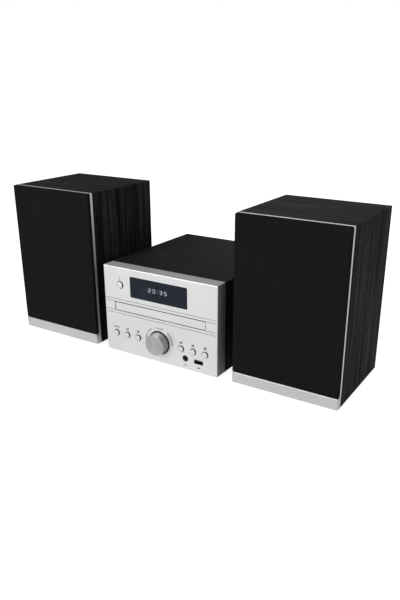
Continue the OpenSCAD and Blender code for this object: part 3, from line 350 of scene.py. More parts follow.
def inside_slot(finish, depth_mm):
    """1 on the walls of the slot that the tray comes out of."""
    tree = finish.node_tree
    x, _, z = coordinates(tree)
    low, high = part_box("tray_door")
    within_z = near(tree, z, (low.z + high.z) / 2, (high.z - low.z) / 2 + SLOT_REACH)
    within = both(tree, near(tree, x, 0.0, high.x + SLOT_REACH), within_z)
    return both(tree, deeper_than(finish, depth_mm), within)


def on_faces(finish, axis):
    """1 on faces that look along one axis, either way."""
    tree = finish.node_tree
    along = facing(tree)["XYZ".index(axis)]
    return math_node(tree, "GREATER_THAN", math_node(tree, "ABSOLUTE", along), 0.8)


print("front of the panel at y =", round(FRONT_Y / MM, 1), "mm")


# %% Paint and painted shade by place
PAINTED_SHADE_BLACK = (0.012, 0.012, 0.013)
DOOR_SHADOW_RIM, STRIP_Z = 0.75 * MM, 18 * MM
# Where the painted shade begins, in millimetres behind the front of the panel
GROOVE_AT, INSIDE_AT, SLOT_AT, DOOR_EDGE_AT, BUTTON_EDGE_AT = 0.12, 0.50, 0.08, 0.335, -1.42


def choose(tree, share, first, second):
    """A colour that is first where share is 0 and second where it is 1."""
    mix = tree.nodes.new("ShaderNodeMix")
    mix.data_type = "RGBA"
    tree.links.new(share, mix.inputs["Factor"])
    for socket, value in ((mix.inputs["A"], first), (mix.inputs["B"], second)):
        if isinstance(value, tuple):
            socket.default_value = (*value, 1)
        else:
            tree.links.new(value, socket)
    return mix.outputs["Result"]


def lift_tone(finish, share, tone):
    """Gives a finish another tone where share is 1, and leaves its gloss."""
    tree = finish.node_tree
    colour = tree.nodes["Principled BSDF"].inputs["Base Color"]
    tree.links.new(choose(tree, share, colour.links[0].from_socket, tone), colour)


def repaint(finish, share, tone):
    """Gives a metallic finish a plain dull tone where share is 1."""
    lift_tone(finish, share, tone)
    tree = finish.node_tree
    metal = tree.nodes["Principled BSDF"].inputs["Metallic"]
    if metal.links:
        dulled = both(tree, metal.links[0].from_socket, rest_of(tree, share))
    else:
        dulled = from_to(tree, share, metal.default_value, 0.0)
    tree.links.new(dulled, metal)


# Painted shade: the narrow sides of the panel get a dark dull grey, and its top a dull grey darker than the front.
repaint(fascia_paint, on_faces(fascia_paint, "X"), (0.15, 0.15, 0.151))
repaint(fascia_paint, on_faces(fascia_paint, "Z"), (0.44, 0.44, 0.443))
# Painted shade: the floors of the grooves get dark grey, and the inside of the panel and the walls of the tray's
# slot black.
repaint(fascia_paint, inside_panel(fascia_paint, GROOVE_AT), (0.13, 0.13, 0.13))
repaint(fascia_paint, inside_panel(fascia_paint, INSIDE_AT), PAINTED_SHADE_BLACK)
repaint(fascia_paint, inside_slot(fascia_paint, SLOT_AT), PAINTED_SHADE_BLACK)
# Painted shade on the door's edges, and a painted shadow along its top edge under the lip of the slot.
repaint(door_paint, deeper_than(door_paint, DOOR_EDGE_AT), PAINTED_SHADE_BLACK)
repaint(door_paint, higher_than(door_paint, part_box("tray_door")[1].z - DOOR_SHADOW_RIM), PAINTED_SHADE_BLACK)
# Painted shade: the sides of the buttons get a nearly black tone.
repaint(button_silver, deeper_than(button_silver, BUTTON_EDGE_AT), (0.03, 0.03, 0.031))
# Painted highlight: above the band at the bottom, the trim is given a lighter tone.
lift_tone(silver_trim, higher_than(silver_trim, STRIP_Z), (0.80, 0.80, 0.80))
print("front panel:", len(fascia_paint.node_tree.nodes), "nodes")


# %% [markdown]
# ## Wood grain
# The cabinets are wrapped in a printed vinyl, folded round from one side over the top to the other. Its grain
# runs up the sides and across the top, so on all three it changes quickly with the depth Y and slowly with
# the other two. A wave texture would look too regular, and a stretched noise doesn't. On the back board Y doesn't
# change, so X takes its part there.

# %% Wood vinyl
def wood_vinyl():
    finish, tree, shader = start_finish("black_ash_vinyl", 0.6, 0, 0.015)
    x, y, z = coordinates(tree)
    back = math_node(tree, "GREATER_THAN", math_node(tree, "ABSOLUTE", facing(tree)[1]), 0.7)
    side = rest_of(tree, back)
    grain = tree.nodes.new("ShaderNodeCombineXYZ")
    tree.links.new(math_node(tree, "MULTIPLY", x, side), grain.inputs["X"])
    tree.links.new(weighted(tree, y, side, x, back), grain.inputs["Y"])
    tree.links.new(z, grain.inputs["Z"])

    def streaks(fast, slow, detail):
        stretch = tree.nodes.new("ShaderNodeMapping")
        stretch.inputs["Scale"].default_value = (slow, fast, slow)
        tree.links.new(grain.outputs[0], stretch.inputs["Vector"])
        return noise(tree, stretch.outputs["Vector"], 1.0, detail, 0.6)

    bands = streaks(150, 5, 3)
    lines = streaks(620, 9, 2)
    pores = streaks(2200, 60, 1)
    share = weighted(tree, bands, 0.5, lines, 0.5)
    ground = colour_between(tree, share, (0.0068, 0.0065, 0.0064), (0.063, 0.061, 0.060), 0.42, 0.64)
    dark_pores = math_node(tree, "LESS_THAN", pores, 0.40)
    tree.links.new(choose(tree, dark_pores, ground, (0.007, 0.0065, 0.006)), shader.inputs["Base Color"])
    tree.links.new(from_to(tree, lines, 0.50, 0.70), shader.inputs["Roughness"])
    relief(tree, shader, weighted(tree, lines, 1.0, pores, 0.6), 0.06 * MM)
    return finish


cabinet_wood = wood_vinyl()
print("wood grain:", cabinet_wood.name, len(cabinet_wood.node_tree.nodes), "nodes")


# %% [markdown]
# ## Spun aluminium
# The knob is turned from aluminium. Its face holds fine rings from the lathe, which spread a highlight into a fan,
# and its side holds fine axial lines. An anisotropic shader can spread the highlight, but shows no lines. So the
# rings and lines are drawn from the distance and the angle around the axis. The fan is a painted highlight drawn
# from the angle; the side is painted darker than the face as painted shade, and the rim between them carries a
# painted highlight.

# %% Knob metal
KNOB_AXIS = (0, 31.3 * MM)
# How far forward a normal looks on the face, and on the rim between face and side that carries a painted highlight
FACE_LEAN, RIM_LEAN, RIM_REACH = 0.6, 0.62, 0.32


def rings(tree, position, scale, detail):
    """A noise along one value only."""
    line = tree.nodes.new("ShaderNodeTexNoise")
    line.noise_dimensions = "1D"
    line.inputs["Scale"].default_value = scale
    line.inputs["Detail"].default_value = detail
    tree.links.new(position, line.inputs["W"])
    return line.outputs["Fac"]


def spun_metal(name, centre, tone):
    finish, tree, shader = start_finish(name, 0.34, 1.0)
    x, _, z = separate(tree, place_in_metres(tree, offset=(-centre[0], 0, -centre[1])))
    squares = math_node(tree, "ADD", math_node(tree, "POWER", x, 2.0), math_node(tree, "POWER", z, 2.0))
    radius = math_node(tree, "SQRT", squares)
    angle = math_node(tree, "ARCTAN2", x, z)
    forward = math_node(tree, "ABSOLUTE", facing(tree)[1])
    on_face = math_node(tree, "GREATER_THAN", forward, FACE_LEAN)

    turned = rings(tree, radius, 2600, 3)
    ribs = math_node(tree, "SINE", math_node(tree, "MULTIPLY", angle, 110.0))
    drawn = weighted(tree, ribs, 0.35, rings(tree, angle, 60, 3), 1.0)
    lines = weighted(tree, turned, on_face, drawn, rest_of(tree, on_face))
    # Painted highlight: a fan of two lobes, brighter above and below the axis, drawn from the angle.
    highlight_lobes = math_node(tree, "COSINE", math_node(tree, "MULTIPLY", angle, 2.0))
    painted_fan_highlight = weighted(tree, highlight_lobes, 0.22, rings(tree, angle, 9, 4), 1.0)
    share = weighted(tree, lines, 0.45, painted_fan_highlight, 0.55)

    def metal(level):
        return colour_between(tree, share, tuple(level * v for v in tone),
                              tuple(1.45 * level * v for v in tone), 0.2, 0.8)

    rim_highlight_mask = math_node(tree, "COMPARE", forward, RIM_LEAN)
    rim_highlight_mask.node.inputs[2].default_value = RIM_REACH
    # Painted shade and highlight: the side is a darker copy of the metal than the face, and the rim a brighter one.
    body = choose(tree, on_face, metal(0.78), metal(1.08))
    tree.links.new(choose(tree, rim_highlight_mask, body, metal(1.35)), shader.inputs["Base Color"])
    tree.links.new(from_to(tree, lines, 0.28, 0.44), shader.inputs["Roughness"])
    relief(tree, shader, lines, 0.02 * MM)
    return finish


knob_metal = spun_metal("spun_knob_metal", KNOB_AXIS, (0.35, 0.35, 0.353))
print("knob metal:", len(knob_metal.node_tree.nodes), "nodes")


# %% [markdown]
# ## Plated steel, boards and mixed parts
# Motors, the clamp bridge and the socket shell are plated sheet. Some moulded parts carry metal: the barrels and
# pins at the back, and parts on the boards. Each could be cut into more objects, but these solids stay whole. So
# the finishes pick the metal out by its place, and give the cores of the sockets their usual colours: white and
# red for the line pair, cream for the aerial.

# %% Plated steel
def plated(name, tone, rough=0.3):
    finish, tree, shader = start_finish(name, rough, 1.0)
    brushed = noise(tree, place_in_metres(tree, (90, 900, 900)), 1.0, 3)
    spots = noise(tree, place_in_metres(tree), 60, 3)
    share = math_node(tree, "MULTIPLY", math_node(tree, "ADD", brushed, spots), 0.5)
    light = tuple(1.2 * v for v in tone)
    tree.links.new(colour_between(tree, share, tone, light), shader.inputs["Base Color"])
    tree.links.new(from_to(tree, brushed, rough - 0.08, rough + 0.10), shader.inputs["Roughness"])
    relief(tree, shader, brushed, 0.008 * MM)
    return finish


steel = plated("plated_steel", (0.48, 0.485, 0.49))
# The socket's shell gets a near-black tone: painted shade for the hole it sits in.
shaded_socket_steel = plated("socket_shell_steel", (0.06, 0.06, 0.061))
print("steel:", steel.name, shaded_socket_steel.name)

# %% Circuit boards
# Where the bare boards lie, in millimetres
MAIN_BOARD_Z = (10.7, 12.5)
FRONT_BOARD_Y = (-88.1, -86.3)


def circuit_board(name, board_axis, limits_mm, part_tone):
    """Green mask with lighter tracks between two limits along one axis, and part_tone elsewhere."""
    finish, tree, shader = start_finish(name, 0.4)
    x, y, z = coordinates(tree)
    depth, up = (y, z) if board_axis == "Y" else (z, y)
    inside = both(tree, math_node(tree, "GREATER_THAN", depth, limits_mm[0] * MM),
                  math_node(tree, "LESS_THAN", depth, limits_mm[1] * MM))
    tracks = tree.nodes.new("ShaderNodeTexBrick")
    tracks.inputs["Scale"].default_value = 220
    tracks.inputs["Mortar Size"].default_value = 0.035
    flat = tree.nodes.new("ShaderNodeCombineXYZ")
    tree.links.new(x, flat.inputs["X"])
    tree.links.new(up, flat.inputs["Y"])
    tree.links.new(flat.outputs[0], tracks.inputs["Vector"])
    green = choose(tree, tracks.outputs["Fac"], (0.012, 0.060, 0.028), (0.030, 0.115, 0.055))
    specks = noise(tree, place_in_metres(tree), 900, 2)
    parts = colour_between(tree, specks, tuple(0.8 * v for v in part_tone), part_tone)
    tree.links.new(choose(tree, inside, parts, green), shader.inputs["Base Color"])
    tree.links.new(from_to(tree, specks, 0.32, 0.5), shader.inputs["Roughness"])
    relief(tree, shader, specks, 0.01 * MM)
    return finish


main_finish = circuit_board("main_board_finish", "Z", MAIN_BOARD_Z, (0.10, 0.10, 0.105))
control_finish = circuit_board("control_board_finish", "Y", FRONT_BOARD_Y, (0.05, 0.05, 0.052))
display_finish = circuit_board("display_board_finish", "Y", FRONT_BOARD_Y, (0.0045, 0.0065, 0.0105))
print("boards:", main_finish.name, control_finish.name, display_finish.name)


# %% Moulding with metal in it
def plastic_with_metal(name, inside_metal):
    """Black moulding that turns to metal where inside_metal(tree, x, y, z) is 1."""
    finish, tree, shader = start_finish(name, 0.45)
    where = place_in_metres(tree)
    metal = inside_metal(tree, *separate(tree, where))
    specks = noise(tree, where, 2500, 2)
    black = colour_between(tree, specks, (0.011, 0.011, 0.012), (0.022, 0.022, 0.023))
    bright = colour_between(tree, noise(tree, where, 400, 3), (0.50, 0.50, 0.49), (0.66, 0.65, 0.63))
    tree.links.new(choose(tree, metal, black, bright), shader.inputs["Base Color"])
    tree.links.new(metal, shader.inputs["Metallic"])
    tree.links.new(from_to(tree, specks, 0.28, 0.5), shader.inputs["Roughness"])
    relief(tree, shader, specks, 0.008 * MM)
    return finish


def within_circle(tree, x, z, centre_x, centre_z, radius):
    """1 inside a circle across X and Z, which is given in millimetres."""
    off_x = math_node(tree, "POWER", math_node(tree, "SUBTRACT", x, centre_x * MM), 2.0)
    off_z = math_node(tree, "POWER", math_node(tree, "SUBTRACT", z, centre_z * MM), 2.0)
    away = math_node(tree, "SQRT", math_node(tree, "ADD", off_x, off_z))
    return math_node(tree, "LESS_THAN", away, radius * MM)


print("helpers: plastic_with_metal, within_circle")

# %% Barrels and pins
# Ends, centres and radii in millimetres, and the tone of the core at each barrel's X
SHELL_Y, CORE_END_Y, PIN_Y = 102.995, 104, 92.1
BARREL_Z, CORE_R = 30.4, 3.0
CORE_TONES = {-8: (0.72, 0.71, 0.68), 8: (0.46, 0.015, 0.015), -32: (0.60, 0.58, 0.52)}
PIN_X, PIN_Z, PIN_R = (-70.3, -61.7), 30.8, 1.35


def barrel_shells(tree, x, y, z):
    core = 0.0
    for barrel_x in CORE_TONES:
        core = math_node(tree, "ADD", within_circle(tree, x, z, barrel_x, BARREL_Z, CORE_R), core)
    return both(tree, math_node(tree, "GREATER_THAN", y, SHELL_Y * MM), rest_of(tree, core))


def around_pins(tree, x, y, z):
    pins = math_node(tree, "ADD", *[within_circle(tree, x, z, pin_x, PIN_Z, PIN_R) for pin_x in PIN_X])
    return both(tree, pins, math_node(tree, "GREATER_THAN", y, PIN_Y * MM))


barrel_finish = plastic_with_metal("socket_moulding", barrel_shells)
for barrel_x, tone in CORE_TONES.items():
    tree = barrel_finish.node_tree
    x, y, z = coordinates(tree)
    end_face = math_node(tree, "GREATER_THAN", y, CORE_END_Y * MM)
    lift_tone(barrel_finish, both(tree, within_circle(tree, x, z, barrel_x, BARREL_Z, CORE_R), end_face), tone)
inlet_finish = plastic_with_metal("inlet_moulding", around_pins)
print("rear sockets:", barrel_finish.name, inlet_finish.name)


# %% [markdown]
# ## Display lens
# The window is a smoked lens. Black paint would hide the figures, and clear glass would show the board. So it lets
# some light through, and the lit figures behind it show while the board doesn't. A little unevenness of the gloss
# keeps it from looking like a hole.

# %% Smoked lens
def smoked_lens():
    finish, tree, shader = start_finish("smoked_lens", 0.06)
    shader.inputs["Transmission Weight"].default_value = 0.9
    shader.inputs["IOR"].default_value = 1.25
    smears = noise(tree, place_in_metres(tree), 45, 4)
    tint = colour_between(tree, smears, (0.065, 0.105, 0.150), (0.075, 0.122, 0.172))
    tree.links.new(tint, shader.inputs["Base Color"])
    tree.links.new(from_to(tree, smears, 0.03, 0.09), shader.inputs["Roughness"])
    return finish


lens_finish = smoked_lens()
print("lens:", lens_finish.name)


# %% [markdown]
# ## Driver cones
# Behind the grilles each woofer has a pressed pulp cone. Pulp shows short fibres in all directions. A noise with
# many octaves gives them without a single hair being modelled.

# %% Cone pulp
def pressed_pulp():
    finish, tree, shader = start_finish("pressed_pulp", 0.75, 0, 0.3)
    fibres = noise(tree, place_in_metres(tree), 700, 5, 0.7)
    pulp = colour_between(tree, fibres, (0.013, 0.013, 0.013), (0.035, 0.034, 0.033))
    tree.links.new(pulp, shader.inputs["Base Color"])
    tree.links.new(from_to(tree, fibres, 0.65, 0.85), shader.inputs["Roughness"])
    relief(tree, shader, fibres, 0.05 * MM)
    return finish


cone_pulp = pressed_pulp()
print("cones:", cone_pulp.name)


# %% [markdown]
# ## Dressing the solids
# On the real set each part is one material, or one that is painted by place as above. So each solid gets one finish
# in its own material slot. A list by name is longer than a rule, but it can be read and changed part by part.

# %% Finishes on the solids
BUTTONS = ("power", "source", "play", "stop", "back", "next", "mode")
finish_of = {
    "front_fascia": fascia_paint, "tray_door": door_paint, "volume_knob": knob_metal,
    "top_cover": cover_paint, "bottom_chassis": chassis_paint, "rear_panel": chassis_paint,
    "knob_collar": black_plastic, "headphone_jack": black_plastic, "speaker_terminals": black_plastic,
    "loader_frame": black_plastic, "turntable": black_plastic, "pickup_sled": black_plastic,
    "display_lens": lens_finish, "display_module": display_finish, "control_board": control_finish,
    "main_board": main_finish, "usb_socket": shaded_socket_steel, "clamp_bridge": steel, "loading_motor": steel,
    "spindle_motor": steel, "mains_inlet": inlet_finish, "rear_sockets": barrel_finish, "drive_belt": rubber,
    "receiver_feet": rubber, "disc_tray": tray_grey, "tray_gear": acetal, "pulley_gear": acetal,
    "motor_pulley": acetal, "clamp_puck": acetal, "lever_1": lever_red, "lever_2": lever_black,
    "lever_3": lever_red, "lever_4": lever_black,
}
for part in BUTTONS:
    finish_of[part + "_button"] = button_silver
for side in ("left", "right"):
    finish_of.update({
        side + "_cabinet": cabinet_wood, side + "_front_frame": silver_trim, side + "_tweeter": black_plastic,
        side + "_grille_frame": black_plastic, side + "_grille_cloth": black_plastic,
        side + "_woofer_frame": basket_paint, side + "_woofer_cone": cone_pulp,
        side + "_woofer_surround": rubber, side + "_cable_gland": rubber, side + "_feet": rubber,
    })
for name, finish in finish_of.items():
    nodes[name].data.materials.clear()
    nodes[name].data.materials.append(finish)
print("dressed", len(finish_of), "of", len(nodes), "solids")


# %% [markdown]
# ## Grille cloth
# The cloth is one rectangle, stretched over a lattice and folded back round its edges. Its fold is a small radius,
# and its corners are round. A bevelled box would have the same outside, but its weave would follow the room and not
# the cloth. So the sheet is made point by point from its flat cut, and each point keeps its flat place as its UV.

# %% Weave
def plain_weave(name, pitch_mm):
    finish, tree, shader = start_finish(name, 0.85, 0, 0.05)
    cut = tree.nodes.new("ShaderNodeUVMap")
    cut.uv_map = "cut"
    u, v, _ = separate(tree, cut.outputs["UV"])
    turns = math.pi / (pitch_mm * MM)
    warp = math_node(tree, "SINE", math_node(tree, "MULTIPLY", u, turns))
    weft = math_node(tree, "SINE", math_node(tree, "MULTIPLY", v, turns))
    over = math_node(tree, "GREATER_THAN", math_node(tree, "MULTIPLY", warp, weft), 0.0)
    height = weighted(tree, math_node(tree, "ABSOLUTE", warp), over,
                      math_node(tree, "ABSOLUTE", weft), rest_of(tree, over))
    slub = tree.nodes.new("ShaderNodeMapping")
    slub.inputs["Scale"].default_value = (160, 12, 1)
    tree.links.new(cut.outputs["UV"], slub.inputs["Vector"])
    uneven = noise(tree, slub.outputs["Vector"], 1.0, 3)
    share = weighted(tree, height, 0.72, uneven, 0.28)
    yarn = colour_between(tree, share, (0.0034, 0.0034, 0.0036), (0.0138, 0.0138, 0.0142), 0.25, 0.85)
    tree.links.new(yarn, shader.inputs["Base Color"])
    tree.links.new(from_to(tree, height, 0.95, 0.78), shader.inputs["Roughness"])
    relief(tree, shader, height, 0.15 * MM)
    return finish


grille_weave = plain_weave("black_grille_weave", 0.75)
print("weave:", grille_weave.name)

# %% Folded shape
FOLD, CORNER, BORDER = 1.2 * MM, 2.0 * MM, 6 * MM
CORNER_STEPS, FOLD_STEPS = 6, 6


def round_outline(half_w, half_h):
    """Points and outward directions of a rectangle with round corners, anticlockwise in X and Z."""
    points = []
    for quarter, (sx, sz) in enumerate(((1, 1), (-1, 1), (-1, -1), (1, -1))):
        for step in range(CORNER_STEPS + 1):
            angle = math.radians(90 * (quarter + step / CORNER_STEPS))
            out = (math.cos(angle), math.sin(angle))
            point = (sx * (half_w - CORNER) + CORNER * out[0], sz * (half_h - CORNER) + CORNER * out[1])
            points.append((point, out))
    return points


def cloth_rows(depth):
    """How far each ring lies inside the outline, how deep, and how far along the flat cut."""
    rows = [(inset, 0.0, BORDER - inset) for inset in (BORDER, FOLD * 1.6)]
    start = BORDER - FOLD
    for step in range(FOLD_STEPS + 1):
        angle = math.radians(90 / FOLD_STEPS * step)
        rows.append((FOLD * (1 - math.sin(angle)), FOLD * (1 - math.cos(angle)), start + FOLD * angle))
    rows.append((0.0, depth, start + FOLD * math.pi / 2 + depth - FOLD))
    return rows


print("cloth folds over a radius of", round(FOLD / MM, 1), "mm")


# %% Points from the flat cut
def cloth_mesh(name, low, high, rows):
    """The outer face of the cloth, with each point's place on the flat cut as its UV."""
    middle = (low + high) / 2
    outline = round_outline((high.x - low.x) / 2, (high.z - low.z) / 2)
    vertices, flat = [], []
    for inset, y, run in rows:
        for (x, z), out in outline:
            px = x - out[0] * min(inset, CORNER)
            pz = z - out[1] * min(inset, CORNER)
            if inset > CORNER:
                px -= math.copysign(inset - CORNER, x)
                pz -= math.copysign(inset - CORNER, z)
            turned = max(0.0, run - BORDER + inset)
            vertices.append((middle.x + px, low.y + y, middle.z + pz))
            flat.append((px + out[0] * turned, pz + out[1] * turned))
    count = len(outline)
    faces = [tuple(range(count))]
    for row in range(len(rows) - 1):
        for k in range(count):
            a = row * count + k
            b = row * count + (k + 1) % count
            faces.append((a, a + count, b + count, b))
    mesh = bpy.data.meshes.new(name)
    mesh.from_pydata(vertices, [], faces)
    layer = mesh.uv_layers.new(name="cut")
    for loop in mesh.loops:
        layer.data[loop.index].uv = flat[loop.vertex_index]
    return mesh


print("helper: cloth_mesh")


# %% Skins
def take(piece):
    """Makes one object the only selected and active one."""
    if bpy.context.mode != "OBJECT":
        bpy.ops.object.mode_set(mode="OBJECT")
    bpy.ops.object.select_all(action="DESELECT")
    piece.select_set(True)
    bpy.context.view_layer.objects.active = piece


def clean_mesh(piece, gap):
    """Merges points closer than gap and turns the faces outwards."""
    take(piece)
    bpy.ops.object.mode_set(mode="EDIT")
    bpy.ops.mesh.select_all(action="SELECT")
    bpy.ops.mesh.remove_doubles(threshold=gap)
    bpy.ops.mesh.normals_make_consistent(inside=False)
    bpy.ops.object.mode_set(mode="OBJECT")


def thicken(piece, thickness, offset):
    """Gives a skin its thickness: all of it inwards for offset -1, half on each side for 0."""
    take(piece)
    wall = piece.modifiers.new("wall", "SOLIDIFY")
    wall.thickness = thickness
    wall.offset = offset
    bpy.ops.object.modifier_apply(modifier="wall")


print("helpers: take, clean_mesh, thicken")

# %% Stretched sheets
SKIN = 0.3 * MM


def stretch_cloth(side):
    low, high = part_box(side + "_grille_cloth")
    rows = cloth_rows(high.y - low.y)
    mesh = cloth_mesh(side + "_stretched_cloth", low, high, rows)
    cloth = bpy.data.objects.new(side + "_stretched_cloth", mesh)
    bpy.context.scene.collection.objects.link(cloth)
    clean_mesh(cloth, 1e-6)
    thicken(cloth, SKIN, -1)
    bpy.ops.object.shade_smooth_by_angle(angle=math.radians(35))
    mesh.materials.append(grille_weave)
    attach(cloth, side + "_grille")
    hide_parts(side + "_grille_cloth")


for side in ("left", "right"):
    stretch_cloth(side)


# %% [markdown]
# ## Lit figures
# Behind the lens a clock shows its time in bars of light, seven places to a figure. Text would be quicker, but
# the built-in font has no such bars. So one bar of each length is modelled with pointed ends, and a copy of it goes
# to every place that is lit. The bars stand on the display glass, in front of the board, and their light is pinkish,
# because the bluish lens turns it to lavender.

# %% Bar of light
BAR_DEPTH = 0.12


def settle(piece):
    """Puts the place, turn and size of an object into its mesh."""
    take(piece)
    bpy.ops.object.transform_apply(location=True, rotation=True, scale=True)


def select_edges(piece, test):
    """Enters edit mode with just the edges whose two ends pass the test selected."""
    take(piece)
    bpy.ops.object.mode_set(mode="EDIT")
    bpy.ops.mesh.select_mode(type="EDGE")
    bpy.ops.mesh.select_all(action="DESELECT")
    bpy.ops.object.mode_set(mode="OBJECT")
    for edge in piece.data.edges:
        edge.select = test(*[piece.data.vertices[v].co for v in edge.vertices])
    bpy.ops.object.mode_set(mode="EDIT")


def light_bar(length_mm, width_mm):
    """A flat bar along X with pointed ends, in millimetres around the origin."""
    bpy.ops.object.select_all(action="DESELECT")
    bpy.ops.mesh.primitive_cube_add(size=1)
    bar = bpy.context.object
    bar.scale = (length_mm, width_mm, BAR_DEPTH)
    settle(bar)
    select_edges(bar, lambda a, b: abs(a.x - b.x) < 1e-6 and abs(a.y - b.y) < 1e-6)
    bpy.ops.mesh.bevel(offset=width_mm * 0.42, segments=1, affect="EDGES")
    bpy.ops.object.mode_set(mode="OBJECT")
    return bar


FIGURE_W, FIGURE_H, BAR_W, DOT_W = 4.5, 5.6, 0.85, 0.95
across_bar = light_bar(FIGURE_W - BAR_W * 1.05, BAR_W)
upright_bar = light_bar(FIGURE_H / 2 - BAR_W * 0.62, BAR_W)
dot_bar = light_bar(DOT_W, DOT_W)
print("bars:", [tuple(round(v, 2) for v in bar.dimensions) for bar in (across_bar, upright_bar, dot_bar)])

# %% Places of the bars
GLASS_Y, BAR_LIFT = FRONT_Y + 4.05 * MM, 0.07 * MM
TEXT_DROP = 0.6
FIGURE_X, DOTS_X, DOTS_APART = (-15.7, -8.6, 2.6, 9.7), -3.0, 1.25
# Each place of a figure: how far to the side, how far up, and the turn of its bar
PLACES = {"a": (0, 1, 0), "b": (1, 0.5, 90), "c": (1, -0.5, 90), "d": (0, -1, 0),
          "e": (-1, -0.5, 90), "f": (-1, 0.5, 90), "g": (0, 0, 0)}
LIT = {"0": "abcdef", "2": "abdeg", "3": "abcdg", "5": "acdfg"}
bars = []


def own_copy(pattern):
    """A copy with a mesh of its own."""
    piece = pattern.copy()
    piece.data = pattern.data.copy()
    bpy.context.scene.collection.objects.link(piece)
    return piece


def place_bar(pattern, x_mm, z_mm, turn):
    bar = own_copy(pattern)
    bar.scale = (MM, MM, MM)
    bar.rotation_euler = (math.radians(90), math.radians(-turn), 0)
    bar.location = (x_mm * MM, GLASS_Y - BAR_LIFT, z_mm * MM)
    bars.append(bar)


window_low, window_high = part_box("display_lens")
text_z = (window_low.z + window_high.z) / 2 / MM - TEXT_DROP
for figure, x in zip("2035", FIGURE_X):
    for name in LIT[figure]:
        side, level, turn = PLACES[name]
        place_bar(upright_bar if turn else across_bar, x + side * (FIGURE_W - BAR_W) / 2,
                  text_z + level * (FIGURE_H - BAR_W) / 2, turn)
for level in (-1, 1):
    place_bar(dot_bar, DOTS_X, text_z + level * DOTS_APART, 0)
for pattern in (across_bar, upright_bar, dot_bar):
    bpy.data.objects.remove(pattern)
for bar in bars:
    settle(bar)
print("bars placed:", len(bars))


# %% Clock figures
def glowing(name, colour, strength):
    finish, tree, shader = start_finish(name, 0.4)
    shader.inputs["Base Color"].default_value = (0.02, 0.02, 0.03, 1)
    shader.inputs["Emission Color"].default_value = (*colour, 1)
    uneven = noise(tree, place_in_metres(tree), 700, 2)
    level = from_to(tree, uneven, strength * 0.75, strength * 1.15)
    tree.links.new(level, shader.inputs["Emission Strength"])
    return finish


def join(pieces):
    """Joins pieces into the first of them."""
    take(pieces[0])
    for piece in pieces:
        piece.select_set(True)
    if len(pieces) > 1:
        bpy.ops.object.join()
    return bpy.context.object


figures = join(bars)
figures.name = "clock_figures"
settle(figures)
figures.data.materials.append(glowing("lavender_glow", (1.0, 0.69, 0.62), 7.5))
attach(figures, "receiver")
print("clock figures:", len(figures.data.polygons), "faces at z", round(text_z, 1))


# %% [markdown]
# ## Printed marks
# The front carries small printed signs: a standby ring, signs for play, stop and skip, arcs beside the knob, signs
# under the sockets and two plain words. A texture could carry them, but it would blur from near by. So each is
# drawn flat in millimetres, stood up against the panel and given the thickness of a film of ink.

# %% Flat shapes
def flat_polygon(corners, radius):
    """A filled polygon of so many corners, its first corner pointing along +Y."""
    bpy.ops.object.select_all(action="DESELECT")
    bpy.ops.mesh.primitive_circle_add(vertices=corners, radius=radius, fill_type="NGON")
    return bpy.context.object


def move_flat(shape, x=0.0, y=0.0, turn=0.0, stretch=(1, 1)):
    shape.location = (x, y, 0)
    shape.rotation_euler = (0, 0, math.radians(turn))
    shape.scale = (stretch[0], stretch[1], 1)
    settle(shape)
    return shape


def flat_bar(width, height, x=0.0, y=0.0):
    bpy.ops.object.select_all(action="DESELECT")
    bpy.ops.mesh.primitive_plane_add(size=1)
    return move_flat(bpy.context.object, x, y, 0, (width, height))


def arrow(x, turn, size):
    """A triangle pointing along +X, turned."""
    return move_flat(flat_polygon(3, size), x, 0, turn - 90, (1.15, 1))


print("flat shapes: polygon, bar, arrow")


# %% Flat words
def flat_word(text, height, weight):
    bpy.ops.object.select_all(action="DESELECT")
    bpy.ops.object.text_add()
    word = bpy.context.object
    word.data.body = text
    word.data.size = height * 1.4
    word.data.align_x = "CENTER"
    word.data.align_y = "CENTER"
    word.data.resolution_u = 3
    word.data.offset = weight
    bpy.ops.object.convert(target="MESH")
    return bpy.context.object


print("words come from the built-in font")

# %% Arcs
ARC_POINTS = 240


def select_points(piece, test):
    """Enters edit mode with just the points that pass the test selected."""
    take(piece)
    bpy.ops.object.mode_set(mode="EDIT")
    bpy.ops.mesh.select_mode(type="VERT")
    bpy.ops.mesh.select_all(action="DESELECT")
    bpy.ops.object.mode_set(mode="OBJECT")
    for vertex in piece.data.vertices:
        vertex.select = test(vertex.co)
    bpy.ops.object.mode_set(mode="EDIT")


def flat_arc(radius, width, start, end):
    """A ring strip from one angle to another, in degrees anticlockwise from +X."""
    outer, inner = radius + width / 2, radius - width / 2
    bpy.ops.object.select_all(action="DESELECT")
    bpy.ops.mesh.primitive_circle_add(vertices=ARC_POINTS, radius=outer)
    strip = bpy.context.object
    select_points(strip, lambda p: not start <= math.degrees(math.atan2(p.y, p.x)) % 360 <= end)
    bpy.ops.mesh.delete(type="VERT")
    bpy.ops.mesh.select_all(action="SELECT")
    bpy.ops.mesh.extrude_region_move()
    bpy.ops.transform.resize(value=(inner / outer, inner / outer, 1), center_override=(0, 0, 0))
    bpy.ops.object.mode_set(mode="OBJECT")
    return strip


print("arc steps:", 360 / ARC_POINTS, "degrees")

# %% Ink
INK_FILM, INK_SINK = 0.06 * MM, 0.02 * MM
ink_dark = grained("dark_print", (0.016, 0.016, 0.017), (0.026, 0.026, 0.027), 0.5, 0.3, 0.002)
printed = []


